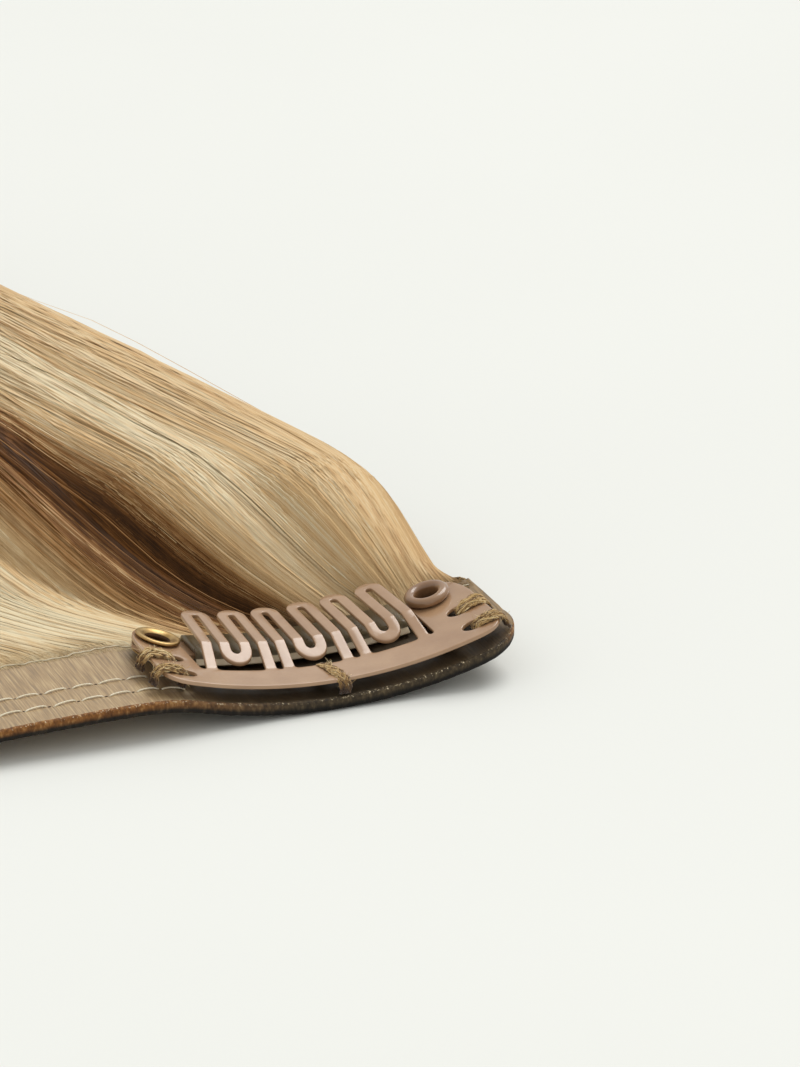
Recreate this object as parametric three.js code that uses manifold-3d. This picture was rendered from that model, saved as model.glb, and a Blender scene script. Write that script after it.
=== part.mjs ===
// Clip-in hair extension lying on a table: a stitched weft band, two snap clips lashed onto it
// and a fall of straight hair. Millimetres, X along the band, +Y back along the hair, +Z up.
import * as THREE from 'three';
import { mergeVertices } from 'three/addons/utils/BufferGeometryUtils.js';
import Module from 'manifold-3d';

const wasm = await Module();
wasm.setup();

// Clearance between pieces that touch on the real object
const GAP = 0.15;

// Points closer than this are one point
const SAME = 1e-4;

// Degrees at which the round stretches have a point: the band's corners, a lock's upper side,
// the comb's loops and an eyelet's rim
const TURNS = {
  corner: [20, 40, 65, 90],
  lock: [16, 50, 90, 130, 164],
  loop: [150, 115, 90, 65, 30],
  rim: [-50, 0, 45, 90, 135, 180],
};

// The weft band: hair bonded in a skin of clear film, cut to a strip with rounded front corners
const BAND = { width: 102, depth: 12, thick: 1.0, corner: 3.5, nose: 0.3, runs: 44 };

// The clips: where they sit on the band and how far their sprung steel is rolled up at the ends
const CLIP = { centre: 35.2, front: 0.6, camber: 40, stack: 2.3 };

// Between the clips the band leaves the clip's curve, levels off and sags a little
const ARCH = { leave: 10.5, level: 5, sag: 0.5 };

// The comb plate, stamped from sheet: a front bar, two end pads and a serpentine of legs
const PLATE = { thick: 0.45, bar: 3.2, corner: 2.2, fillet: 0.5, runs: 12, curve: 5 };
const PAD = { inner: 9.65, round: 2.3, overlap: 0.6, reach: { left: 13.6, right: 14.5 } };
const HOLES = { inset: 2.1, rows: [1.9, 5.0], halfLength: 0.95, halfWidth: 0.7 };
const COMB = { leg: 0.9, groups: 3, loop: 1.55, bend: 1.73, next: 1.48, joined: 2.6, fan: 0.06 };
const TOOTH = { root: 3.4, knee: 5.95, kneeLift: 1.25, bend: 4.0, tip: 12.5, tipLift: 1.4 };

// The eyelets that rivet the plate to the spring bow
const EYELET = { x: 11.4, y: 8.8, bore: 0.95, barrel: 1.15, foot: 1.65, footThick: 0.1, sides: 14 };
const RIM = { waist: 0.4, painted: { reach: 1.85, rise: 0.68 }, brass: { reach: 1.92, rise: 0.45 } };

// The spring bow under the teeth and the silicone sleeve on it
const BOW = { halfWidth: 1.5, thick: 0.3, end: 1.9, rise: 0.4 };
const SLEEVE = { half: 8.7, wall: 0.3, round: 0.3, boreRound: 0.1, steps: 8, curve: 2 };

// The thread lashings that tie each clip down: how they ease over an edge and how far they lie flat
const LASH = { radius: 0.42, midRadius: 0.26, midX: 0.4, ease: 0.2, flat: 0.7, sides: 6, steps: 8 };

// The hair: it slides to one side behind the band, leans that way, swells and thins out towards its ends
const HAIR = { reach: 390, taper: 0.16, settle: 18, flat: 2.0, fan: 24 };
const SLIDE = { sway: 5, swayLength: 11, lean: 0.22, leanLength: 150 };
const HEADER = { length: 5, inset: 0.06 };
const LOCK = { start: 5.6, sink: 45, thinBy: 200, left: 0.3, roundness: 0.7 };
const FEATHER = { length: 60, width: 0.62, height: 0.5, rows: [60, 38, 16, 0] };
const STATIONS = [0, 5, 10, 16, 23, 32, 44, 62, 90, 135, 190, 250];

// One row a lock: where it leaves the band, how far back it starts to swell, over what length and how
// high, its share of the sway, its half width once it has fanned out, how far it wanders sideways and
// how short of the full reach it ends. A lock with an onset below 0 swells from the band on.
const LOCKS = [
  { at: -45.2, onset: 3, length: 30, hump: 4.2, sway: 1, wide: 10, wander: 1.5, short: 26 },
  { at: -34.5, onset: 9, length: 30, hump: 5.6, sway: 1, wide: 11, wander: -1.0, short: 8 },
  { at: -23.5, onset: 12, length: 30, hump: 4.6, sway: 1, wide: 11, wander: 2.0, short: 17 },
  { at: -12.5, onset: 6, length: 30, hump: 5.6, sway: 1, wide: 11, wander: -1.5, short: 2 },
  { at: -2.5, onset: 7, length: 30, hump: 5.2, sway: 1, wide: 11, wander: 1.0, short: 12 },
  { at: 7.0, onset: 8, length: 34, hump: 4.6, sway: 1, wide: 10, wander: -1.0, short: 0 },
  { at: 16.0, onset: 10, length: 36, hump: 4.2, sway: 1, wide: 10, wander: 1.0, short: 9 },
  { at: 24.0, onset: 14, length: 40, hump: 4.4, sway: 1.2, wide: 9, wander: -1.0, short: 4 },
  { at: 31.0, onset: 8, length: 40, hump: 5.8, sway: 1.4, wide: 9, wander: 0.5, short: 16 },
  { at: 37.5, onset: -2, length: 40, hump: 7.2, sway: 1.3, wide: 9, wander: -1.0, short: 3 },
  { at: 42.5, onset: -12, length: 34, hump: 8.0, sway: 0.9, wide: 9, wander: 0, short: 10 },
  { at: 46.6, onset: -16, length: 32, hump: 8.2, sway: 0, wide: 10, wander: -0.5, short: 24 },
];

const COLOURS = {
  band: { color: 0x8f7057, roughness: 0.5, metalness: 0 },
  hair: { color: 0xb08d5e, roughness: 0.55, metalness: 0 },
  enamel: { color: 0xa58273, roughness: 0.4, metalness: 0.1 },
  brass: { color: 0xb58a3c, roughness: 0.3, metalness: 1 },
  silicone: { color: 0x7d7f6c, roughness: 0.35, metalness: 0 },
  thread: { color: 0xb39a6b, roughness: 0.9, metalness: 0 },
};

// Helpers for solids

function weld(geometry) {
  const bare = geometry.clone();
  bare.deleteAttribute('normal');
  bare.deleteAttribute('uv');
  return mergeVertices(bare, SAME);
}

function signedVolume(geometry) {
  const { position } = geometry.attributes;
  const corner = [new THREE.Vector3(), new THREE.Vector3(), new THREE.Vector3()];
  let sum = 0;
  for (let i = 0; i < geometry.index.count; i += 3) {
    corner.forEach((c, k) => c.fromBufferAttribute(position, geometry.index.getX(i + k)));
    sum += corner[0].dot(corner[1].clone().cross(corner[2])) / 6;
  }
  return sum;
}

function facingOut(geometry) {
  if (signedVolume(geometry) < 0) {
    const order = Array.from(geometry.index.array);
    geometry.setIndex(order.reverse());
  }
  return geometry;
}

// A solid through equal rings of points, closed by a fan at each end
function loft(rings) {
  const count = rings[0].length;
  const positions = rings.flat().flatMap((p) => [p.x, p.y, p.z]);
  const index = [];
  for (let r = 0; r + 1 < rings.length; r++) {
    for (let k = 0; k < count; k++) {
      const a = r * count + k;
      const b = r * count + (k + 1) % count;
      index.push(a, b, b + count, a, b + count, a + count);
    }
  }
  const last = (rings.length - 1) * count;
  for (let k = 1; k + 1 < count; k++) {
    index.push(0, k + 1, k, last, last + k, last + k + 1);
  }
  const geometry = new THREE.BufferGeometry();
  geometry.setAttribute('position', new THREE.Float32BufferAttribute(positions, 3));
  geometry.setIndex(index);
  return facingOut(geometry);
}

function toSolid(geometry) {
  const vertProperties = new Float32Array(geometry.attributes.position.array);
  const triVerts = new Uint32Array(geometry.index.array);
  return new wasm.Manifold(new wasm.Mesh({ numProp: 3, vertProperties, triVerts }));
}

function fuse(geometries) {
  const solids = geometries.map(toSolid);
  const joined = solids.reduce((sum, solid) => sum.add(solid));
  const mesh = joined.getMesh();
  const geometry = new THREE.BufferGeometry();
  geometry.setAttribute('position', new THREE.Float32BufferAttribute(mesh.vertProperties, 3));
  geometry.setIndex(Array.from(mesh.triVerts));
  return geometry;
}

function moved(geometry, change) {
  const position = geometry.attributes.position;
  const p = new THREE.Vector3();
  for (let i = 0; i < position.count; i++) {
    change(p.fromBufferAttribute(position, i));
    position.setXYZ(i, p.x, p.y, p.z);
  }
  return geometry;
}

function piece(name, geometry, look) {
  geometry.computeVertexNormals();
  const mesh = new THREE.Mesh(geometry, new THREE.MeshStandardMaterial(COLOURS[look]));
  mesh.name = name;
  return mesh;
}

const smooth = (from, to, value) => THREE.MathUtils.smoothstep(value, from, to);
const radians = THREE.MathUtils.degToRad;

// The band's rest shape: it hugs the underside of each clip and arches up between them

function bandLift(x) {
  const radius = CLIP.camber + CLIP.stack;
  const arc = (d) => radius - Math.sqrt(radius * radius - d * d);
  const inward = CLIP.centre - Math.abs(x);
  if (inward <= ARCH.leave) {
    return arc(inward);
  }
  const slope = ARCH.leave / Math.sqrt(radius * radius - ARCH.leave * ARCH.leave);
  const past = Math.min(inward - ARCH.leave, ARCH.level);
  const crest = CLIP.centre - ARCH.leave - ARCH.level;
  const sag = ARCH.sag * (1 - smooth(0, crest, Math.abs(x)));
  return arc(ARCH.leave) + slope * (past - past * past / (2 * ARCH.level)) - sag;
}

function bandFront(x) {
  const into = Math.abs(x) - (BAND.width / 2 - BAND.corner);
  return into > 0 ? BAND.corner - Math.sqrt(BAND.corner ** 2 - into ** 2) : 0;
}

function bandGeometry() {
  const straight = BAND.width / 2 - BAND.corner;
  const ends = TURNS.corner.map((turn) => straight + BAND.corner * Math.sin(radians(turn)));
  const stations = ends.map((x) => -x).reverse();
  for (let i = 0; i <= BAND.runs; i++) {
    stations.push(-straight + 2 * straight * i / BAND.runs);
  }
  stations.push(...ends);
  return loft(stations.map((x) => {
    const z = bandLift(x);
    const front = bandFront(x);
    const section = [
      [front + BAND.nose, 0], [BAND.depth, 0], [BAND.depth, BAND.thick],
      [front + BAND.nose, BAND.thick], [front, BAND.thick - BAND.nose], [front, BAND.nose],
    ];
    return section.map(([y, up]) => new THREE.Vector3(x, y, z + up));
  }));
}

// The hair: one loft a lock, flat underneath where it lies on the table, fused to a header

function lockRing(lock, back) {
  const share = back / HAIR.reach;
  const sway = lock.sway * SLIDE.sway * Math.tanh(back / SLIDE.swayLength);
  const lean = SLIDE.lean * SLIDE.leanLength * Math.tanh(back / SLIDE.leanLength);
  const wander = lock.wander * Math.sin(2 * Math.PI * share);
  const centre = lock.at * (1 - HAIR.taper * share) - sway - lean + wander;
  const settled = smooth(0, HAIR.settle, back);
  const sunk = (1 - LOCK.left) * smooth(LOCK.sink, LOCK.thinBy, back);
  const grown = smooth(lock.onset, lock.onset + lock.length, back);
  const begun = smooth(lock.onset, lock.onset + lock.length, 0);
  const swell = (grown - begun) / (1 - begun) * (1 - sunk);
  const feather = smooth(HAIR.reach - lock.short - FEATHER.length, HAIR.reach - lock.short, back);
  const lift = bandLift(lock.at);
  const low = lift * (1 - settled);
  const full = BAND.thick * (1 - settled) + HAIR.flat * settled + lock.hump * swell;
  const high = low + full * (1 - (1 - FEATHER.height) * feather);
  const start = Math.min(LOCK.start, BAND.width / 2 - GAP - Math.abs(lock.at));
  const spread = THREE.MathUtils.lerp(start, lock.wide, smooth(0, HAIR.fan, back));
  const half = spread * (1 - HAIR.taper * share) * (1 - (1 - FEATHER.width) * feather);
  const y = BAND.depth + GAP + back;
  const ring = [new THREE.Vector3(centre - half, y, low), new THREE.Vector3(centre + half, y, low)];
  for (const turn of TURNS.lock) {
    const up = Math.sin(radians(turn)) ** LOCK.roundness;
    ring.push(new THREE.Vector3(centre + half * Math.cos(radians(turn)), y, low + (high - low) * up));
  }
  return ring;
}

function lockGeometry(lock) {
  const end = HAIR.reach - lock.short;
  const feathered = FEATHER.rows.map((before) => end - before);
  return loft([...STATIONS, ...feathered].map((back) => lockRing(lock, back)));
}

function headerGeometry() {
  const half = BAND.width / 2 - HEADER.inset;
  const rings = [];
  for (let i = 0; i <= BAND.runs; i++) {
    const x = -half + 2 * half * i / BAND.runs;
    const z = bandLift(x);
    const near = BAND.depth + GAP;
    const corners = [
      [near, HEADER.inset], [near + HEADER.length, HEADER.inset],
      [near + HEADER.length, BAND.thick - HEADER.inset], [near, BAND.thick - HEADER.inset],
    ];
    rings.push(corners.map(([y, up]) => new THREE.Vector3(x, y, z + up)));
  }
  return loft(rings);
}

const hairGeometry = () => fuse([headerGeometry(), ...LOCKS.map(lockGeometry)]);

// Clip pieces are drawn flat, with z = 0 on the plate's upper face and y = 0 on its front edge,
// and then rolled about an axis above the clip

function cambered(geometry) {
  return moved(geometry, (p) => {
    const turn = p.x / CLIP.camber;
    const radius = CLIP.camber - p.z;
    p.set(radius * Math.sin(turn), p.y, CLIP.camber - radius * Math.cos(turn));
  });
}

function stamped(shape, top, thick) {
  const flat = new THREE.ExtrudeGeometry(shape, {
    depth: thick, bevelEnabled: false, curveSegments: PLATE.curve,
  });
  flat.translate(0, 0, top - thick);
  return weld(flat);
}

// A flat strip along X in even runs, so that it can be rolled
function strip(halfLength, near, far, top, thick) {
  const rings = [];
  for (let i = 0; i <= PLATE.runs; i++) {
    const x = halfLength * (2 * i / PLATE.runs - 1);
    const corners = [[near, top - thick], [far, top - thick], [far, top], [near, top]];
    rings.push(corners.map(([y, z]) => new THREE.Vector3(x, y, z)));
  }
  return loft(rings);
}

function roundHole(x, y, radiusX, radiusY) {
  const hole = new THREE.Path();
  hole.absellipse(x, y, radiusX, radiusY, 0, 2 * Math.PI, true);
  return hole;
}

// An end pad, drawn on the +X side, with its eyelet hole and two sewing holes
function padShape(reach) {
  const { bar, corner, fillet } = PLATE;
  const root = PAD.inner - fillet - PAD.overlap;
  const shape = new THREE.Shape();
  shape.moveTo(root, 0);
  shape.lineTo(reach - corner, 0);
  shape.quadraticCurveTo(reach, 0, reach, corner);
  shape.lineTo(reach, EYELET.y - PAD.round);
  shape.quadraticCurveTo(reach, EYELET.y + PAD.round, EYELET.x, EYELET.y + PAD.round);
  shape.absellipse(EYELET.x, EYELET.y, EYELET.x - PAD.inner, PAD.round, Math.PI / 2, Math.PI, false);
  shape.lineTo(PAD.inner, bar + fillet);
  shape.quadraticCurveTo(PAD.inner, bar, PAD.inner - fillet, bar);
  shape.lineTo(root, bar);
  shape.holes.push(roundHole(EYELET.x, EYELET.y, EYELET.barrel + GAP, EYELET.barrel + GAP));
  for (const row of HOLES.rows) {
    shape.holes.push(roundHole(reach - HOLES.inset, row, HOLES.halfLength, HOLES.halfWidth));
  }
  return shape;
}

function mirroredX(geometry) {
  return facingOut(moved(geometry.clone(), (p) => p.setX(-p.x)));
}

// Height of a tooth's upper face at a distance from the plate's front edge
function toothTop(y) {
  if (y < TOOTH.knee) {
    return TOOTH.kneeLift * Math.max(0, (y - TOOTH.root) / (TOOTH.knee - TOOTH.root));
  }
  const share = (y - TOOTH.knee) / (TOOTH.tip - TOOTH.knee);
  return THREE.MathUtils.lerp(TOOTH.kneeLift, TOOTH.tipLift, share);
}

// Centre line of one M of the serpentine: up a leg, round a loop, down to a bend, and up again
function serpentine(first) {
  const { loop, bend } = COMB;
  const legs = [first, first + loop, first + loop + bend, first + 2 * loop + bend];
  const turnY = TOOTH.tip - (loop + COMB.leg) / 2;
  const bendY = TOOTH.bend + (bend + COMB.leg) / 2;
  const path = [];
  const straight = (x, ...ys) => ys.forEach((y) => path.push({ x, y }));
  const arc = (x, y, radius, way) => {
    for (const turn of TURNS.loop) {
      const angle = radians(turn);
      path.push({ x: x + radius * Math.cos(angle), y: y + way * radius * Math.sin(angle) });
    }
  };
  straight(legs[0], COMB.joined, TOOTH.root, TOOTH.knee, turnY);
  arc((legs[0] + legs[1]) / 2, turnY, loop / 2, 1);
  straight(legs[1], turnY, TOOTH.knee, bendY);
  arc((legs[1] + legs[2]) / 2, bendY, bend / 2, -1);
  straight(legs[2], bendY, TOOTH.knee, turnY);
  arc((legs[2] + legs[3]) / 2, turnY, loop / 2, 1);
  straight(legs[3], turnY, TOOTH.knee, TOOTH.root, COMB.joined);
  const drawIn = (y) => 1 - COMB.fan * Math.max(0, (y - TOOTH.root) / (TOOTH.tip - TOOTH.root));
  return path.map(({ x, y }) => ({ x: x * drawIn(y), y }));
}

function ribbon(path) {
  const half = COMB.leg / 2;
  return loft(path.map((at, i) => {
    const before = path[Math.max(i - 1, 0)];
    const after = path[Math.min(i + 1, path.length - 1)];
    const along = new THREE.Vector2(after.x - before.x, after.y - before.y).normalize();
    const left = [at.x - along.y * half, at.y + along.x * half];
    const right = [at.x + along.y * half, at.y - along.x * half];
    const corner = ([x, y], drop) => new THREE.Vector3(x, y, toothTop(y) - drop);
    return [corner(left, 0), corner(right, 0), corner(right, PLATE.thick), corner(left, PLATE.thick)];
  }));
}

function combGeometry() {
  const group = 2 * COMB.loop + COMB.bend;
  const span = COMB.groups * group + (COMB.groups - 1) * COMB.next;
  const ribbons = [];
  for (let g = 0; g < COMB.groups; g++) {
    ribbons.push(cambered(ribbon(serpentine(-span / 2 + g * (group + COMB.next)))));
  }
  const left = mirroredX(stamped(padShape(PAD.reach.left), 0, PLATE.thick));
  const right = stamped(padShape(PAD.reach.right), 0, PLATE.thick);
  const bar = strip(PAD.inner - PLATE.fillet, 0, PLATE.bar, 0, PLATE.thick);
  return fuse([bar, left, right].map(cambered).concat(ribbons));
}

// The bow stands up a little in its middle, and its sleeve with it
function bowed(geometry) {
  return moved(geometry, (p) => {
    p.z += BOW.rise * Math.max(0, 1 - (p.x / EYELET.x) ** 2);
  });
}

const bowTop = -PLATE.thick - GAP;

function bowGeometry() {
  const disc = new THREE.Shape();
  disc.absarc(EYELET.x, EYELET.y, BOW.end, 0, 2 * Math.PI, false);
  disc.holes.push(roundHole(EYELET.x, EYELET.y, EYELET.barrel + GAP, EYELET.barrel + GAP));
  const end = stamped(disc, bowTop, BOW.thick);
  const reach = EYELET.x - EYELET.barrel - GAP;
  const blade = strip(reach, EYELET.y - BOW.halfWidth, EYELET.y + BOW.halfWidth, bowTop, BOW.thick);
  return fuse([blade, mirroredX(end), end].map((part) => cambered(bowed(part))));
}

function roundedBox(path, halfWidth, low, high, round) {
  path.moveTo(-halfWidth + round, low);
  path.lineTo(halfWidth - round, low);
  path.quadraticCurveTo(halfWidth, low, halfWidth, low + round);
  path.lineTo(halfWidth, high - round);
  path.quadraticCurveTo(halfWidth, high, halfWidth - round, high);
  path.lineTo(-halfWidth + round, high);
  path.quadraticCurveTo(-halfWidth, high, -halfWidth, high - round);
  path.lineTo(-halfWidth, low + round);
  path.quadraticCurveTo(-halfWidth, low, -halfWidth + round, low);
  return path;
}

function sleeveGeometry() {
  const { half, wall, round, boreRound, steps, curve } = SLEEVE;
  const low = bowTop - BOW.thick - GAP;
  const high = bowTop + GAP;
  const tube = roundedBox(new THREE.Shape(), BOW.halfWidth + GAP + wall, low - wall, high + wall, round);
  tube.holes.push(roundedBox(new THREE.Path(), BOW.halfWidth + GAP, low, high, boreRound));
  const straight = new THREE.ExtrudeGeometry(tube, {
    depth: 2 * half, steps, bevelEnabled: false, curveSegments: curve,
  });
  const along = new THREE.Matrix4().makeBasis(
    new THREE.Vector3(0, 1, 0), new THREE.Vector3(0, 0, 1), new THREE.Vector3(1, 0, 0),
  );
  straight.applyMatrix4(along);
  straight.translate(-half, EYELET.y, 0);
  return cambered(bowed(weld(straight)));
}

// A rolled rivet: a rim above the plate, a barrel through plate and bow, and a flat foot below
function eyeletGeometry(rim, side) {
  const { bore, barrel, foot, footThick, sides } = EYELET;
  const seat = bowTop - BOW.thick - GAP;
  const mid = (bore + rim.reach) / 2;
  const spread = (rim.reach - bore) / 2;
  const profile = [
    [bore, seat - footThick], [foot, seat - footThick], [foot, seat], [barrel, seat], [barrel, GAP],
  ];
  for (const turn of TURNS.rim) {
    const rise = rim.rise * (RIM.waist + (1 - RIM.waist) * Math.sin(radians(turn)));
    profile.push([mid + spread * Math.cos(radians(turn)), GAP + Math.max(0, rise)]);
  }
  profile.push(profile[0]);
  const turned = new THREE.LatheGeometry(profile.map(([r, z]) => new THREE.Vector2(r, z)), sides);
  turned.rotateX(Math.PI / 2);
  turned.translate(side * EYELET.x, EYELET.y, 0);
  return cambered(facingOut(weld(turned)));
}

function cordTube(points, radius) {
  const section = new THREE.Shape();
  section.absarc(0, 0, radius, 0, 2 * Math.PI, false);
  const route = new THREE.CatmullRomCurve3(points);
  const tube = new THREE.ExtrudeGeometry(section, {
    extrudePath: route, steps: LASH.steps, curveSegments: LASH.sides / 2, bevelEnabled: false,
  });
  return cambered(facingOut(weld(tube)));
}

// Thread from the band up round the end of the plate and down through a sewing hole
function endLashGeometry(end, row) {
  const { radius, ease, flat } = LASH;
  const way = end === 'left' ? -1 : 1;
  const reach = PAD.reach[end];
  const hole = reach - HOLES.inset;
  const floor = -CLIP.stack + BAND.thick + GAP;
  const outside = reach + GAP + radius;
  const over = GAP + radius;
  const route = [
    [outside, floor], [outside, -ease], [outside - ease, over - ease], [reach - ease, over],
    [hole + flat, over], [hole + ease, over - ease], [hole, -ease], [hole, floor],
  ];
  return cordTube(route.map(([x, z]) => new THREE.Vector3(way * x, row, z)), radius);
}

// Thread over the middle of the front bar, between the bar and the nearest bend of the teeth
function midLashGeometry() {
  const { midRadius: radius, ease, flat } = LASH;
  const floor = -CLIP.stack + BAND.thick + GAP;
  const over = GAP + radius;
  const behind = PLATE.bar + GAP + radius;
  const before = -GAP - radius;
  const route = [
    [behind, floor], [behind, -ease], [behind - ease, over - ease], [PLATE.bar - flat, over],
    [flat, over], [before + ease, over - ease], [before, -ease], [before, floor],
  ];
  return cordTube(route.map(([y, z]) => new THREE.Vector3(LASH.midX, y, z)), radius);
}

function clip(side, x) {
  const group = new THREE.Group();
  group.position.set(x, CLIP.front, CLIP.stack);
  group.add(piece(`comb_plate_${side}`, combGeometry(), 'enamel'));
  group.add(piece(`spring_bow_${side}`, bowGeometry(), 'enamel'));
  group.add(piece(`grip_sleeve_${side}`, sleeveGeometry(), 'silicone'));
  group.add(piece(`eyelet_brass_${side}`, eyeletGeometry(RIM.brass, -1), 'brass'));
  group.add(piece(`eyelet_painted_${side}`, eyeletGeometry(RIM.painted, 1), 'enamel'));
  for (const end of ['left', 'right']) {
    HOLES.rows.forEach((row, i) => {
      const name = `lashing_${end}_${i === 0 ? 'front' : 'back'}_${side}`;
      group.add(piece(name, endLashGeometry(end, row), 'thread'));
    });
  }
  group.add(piece(`lashing_middle_${side}`, midLashGeometry(), 'thread'));
  return group;
}

// The part, with its origin on the table under the middle of its box

const weft = new THREE.Group();
weft.add(piece('weft_band', bandGeometry(), 'band'));
weft.add(piece('hair_fall', hairGeometry(), 'hair'));
weft.add(clip('clip_left', -CLIP.centre));
weft.add(clip('clip_right', CLIP.centre));
weft.updateMatrixWorld(true);
const box = new THREE.Box3().setFromObject(weft, true);
const middle = box.getCenter(new THREE.Vector3());
weft.position.set(-middle.x, -middle.y, -box.min.z);

const part = new THREE.Group();
part.add(weft);

export default part;
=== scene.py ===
import math
from types import SimpleNamespace as Sizes

import bmesh
import bpy
import numpy as np
from mathutils import Matrix, Vector
from mathutils.geometry import delaunay_2d_cdt


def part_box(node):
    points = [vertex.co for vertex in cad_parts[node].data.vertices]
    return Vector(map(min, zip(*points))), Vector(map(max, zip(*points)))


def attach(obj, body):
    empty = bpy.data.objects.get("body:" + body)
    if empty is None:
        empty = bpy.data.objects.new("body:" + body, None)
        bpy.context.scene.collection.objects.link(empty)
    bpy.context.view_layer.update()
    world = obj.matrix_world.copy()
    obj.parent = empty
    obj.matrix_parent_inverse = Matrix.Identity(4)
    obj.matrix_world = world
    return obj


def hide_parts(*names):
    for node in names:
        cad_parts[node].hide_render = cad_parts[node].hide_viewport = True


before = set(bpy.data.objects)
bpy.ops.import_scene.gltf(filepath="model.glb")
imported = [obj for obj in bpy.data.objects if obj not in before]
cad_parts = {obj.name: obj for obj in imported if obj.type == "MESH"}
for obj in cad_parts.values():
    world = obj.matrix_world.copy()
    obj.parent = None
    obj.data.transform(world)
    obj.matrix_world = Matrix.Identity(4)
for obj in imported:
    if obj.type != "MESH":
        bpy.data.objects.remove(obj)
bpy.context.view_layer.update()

# Sizes are in millimetres, in the weft's own frame: X along the band from its middle, Y back from
# its front edge and Z up from the table. The band's box in the frame says where that is.
MM = 0.001
BAND_LOW, BAND_HIGH = (np.array(corner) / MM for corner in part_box("weft_band"))
ORIGIN = np.array([(BAND_LOW[0] + BAND_HIGH[0]) / 2, BAND_LOW[1], 0.0])

# The construction's sizes
GAP = 0.15
BAND = Sizes(width=BAND_HIGH[0] - BAND_LOW[0], depth=BAND_HIGH[1] - BAND_LOW[1],
             thick=1.0, corner=3.5, nose=0.3)
CLIP = Sizes(centre=35.2, front=0.6, camber=40.0, stack=2.3)
ARCH = Sizes(leave=10.5, level=5.0, sag=0.5)
PLATE = Sizes(thick=0.45, sheet=0.33, bar=3.2, corner=2.2, fillet=0.5, edge=0.08)
PAD = Sizes(inner=9.65, round=2.3, left=13.6, right=14.5)
HOLES = Sizes(inset=2.1, rows=(1.9, 5.0), half_length=0.95, half_width=0.7)
COMB = Sizes(leg=0.9, groups=3, loop=1.55, bend=1.73, next=1.48, joined=2.6, fan=0.06)
TOOTH = Sizes(root=3.4, knee=5.95, knee_lift=1.25, bend=4.0, tip=12.5, tip_lift=1.4, crease=0.06)
EYELET = Sizes(x=11.4, y=8.8, bore=0.95, barrel=1.15, foot=1.65, foot_thick=0.1, sides=72)
RIM = Sizes(painted=1.85, painted_rise=0.68, painted_waist=0.4, brass=1.92)
BOW = Sizes(half_width=1.5, thick=0.3, rise=0.4)
SLEEVE = Sizes(half=8.7, wall=0.3, round=0.3, bore_round=0.1, ledge=0.3)
LASH = Sizes(mid_x=0.4, ease=0.2, flat=0.7, clear=0.03)
HAIR = Sizes(reach=390.0, taper=0.16, settle=18.0, flat=2.0, fan=24.0)
SLIDE = Sizes(sway=5.0, sway_length=11.0, lean=0.22, lean_length=150.0)
LOCK = Sizes(start=5.6, sink=45.0, thin_by=200.0, left=0.3, roundness=0.7)
FEATHER = Sizes(length=60.0, width=0.62, height=0.5)

# One row a lock, as in the construction
LOCK_COLUMNS = ("at", "onset", "length", "hump", "sway", "wide", "wander", "short")
LOCK_ROWS = (
    (-45.2, 3, 30, 4.2, 1, 10, 1.5, 26),
    (-34.5, 9, 30, 5.6, 1, 11, -1.0, 8),
    (-23.5, 12, 30, 4.6, 1, 11, 2.0, 17),
    (-12.5, 6, 30, 5.6, 1, 11, -1.5, 2),
    (-2.5, 7, 30, 5.2, 1, 11, 1.0, 12),
    (7.0, 8, 34, 4.6, 1, 10, -1.0, 0),
    (16.0, 10, 36, 4.2, 1, 10, 1.0, 9),
    (24.0, 14, 40, 4.4, 1.2, 9, -1.0, 4),
    (31.0, 8, 40, 5.8, 1.4, 9, 0.5, 16),
    (37.5, -2, 40, 7.2, 1.3, 9, -1.0, 3),
    (42.5, -12, 34, 8.0, 0.9, 9, 0.0, 10),
    (46.6, -16, 32, 8.2, 0, 10, -0.5, 24),
)
LOCKS = Sizes(**dict(zip(LOCK_COLUMNS, np.array(LOCK_ROWS, float).T)))
LOCKS.start = np.minimum(LOCK.start, BAND.width / 2 - GAP - np.abs(LOCKS.at))
HAIR_EDGES = (LOCKS.at[0] - LOCKS.start[0], LOCKS.at[-1] + LOCKS.start[-1])

# The photograph's view: its direction, its scale at a point of the right clip, and where that point
# lies in the picture
PICTURE = Sizes(width=800, height=1067, sensor=36.0)
VIEW = Sizes(azimuth=22.04, elevation=20.96, focal_px=4000.0, px_per_mm=12.941)
TARGET = Sizes(on_clip=np.array([0.0, 6.0, 0.0]), picture_x=307.0, picture_y=651.2)

# A wide soft key light from the back right: where it stands, its strength, its width and the studio's fill
LIGHT = Sizes(way=np.array([0.471, 0.291, 0.833]), power=1.7, wide=40.0, fill=0.7)

# Everything random is drawn from one seeded source, in the order of the script
RANDOM = np.random.default_rng(20)
TURN = 2 * math.pi


# Helpers for shapes

def smoothstep(low, high, value):
    t = np.clip((value - low) / (high - low), 0, 1)
    return t * t * (3 - 2 * t)


def rising(least, low, high, value):
    """A smooth step that starts at a least share and ends at 1."""
    return least + (1 - least) * smoothstep(low, high, value)


def unit(vectors):
    return vectors / np.linalg.norm(vectors, axis=-1, keepdims=True)


def stacked(*parts):
    """Points from their coordinates, or a map from its U and V: the parts along a new last axis."""
    return np.stack(np.broadcast_arrays(*parts), -1)


def waves(values, lengths):
    """A sum of sine waves of some lengths with random phases, about one high."""
    phases = RANDOM.uniform(0, TURN, len(lengths))
    return sum(np.sin(TURN * values / size + phase) for size, phase in zip(lengths, phases)) / len(lengths)


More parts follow.
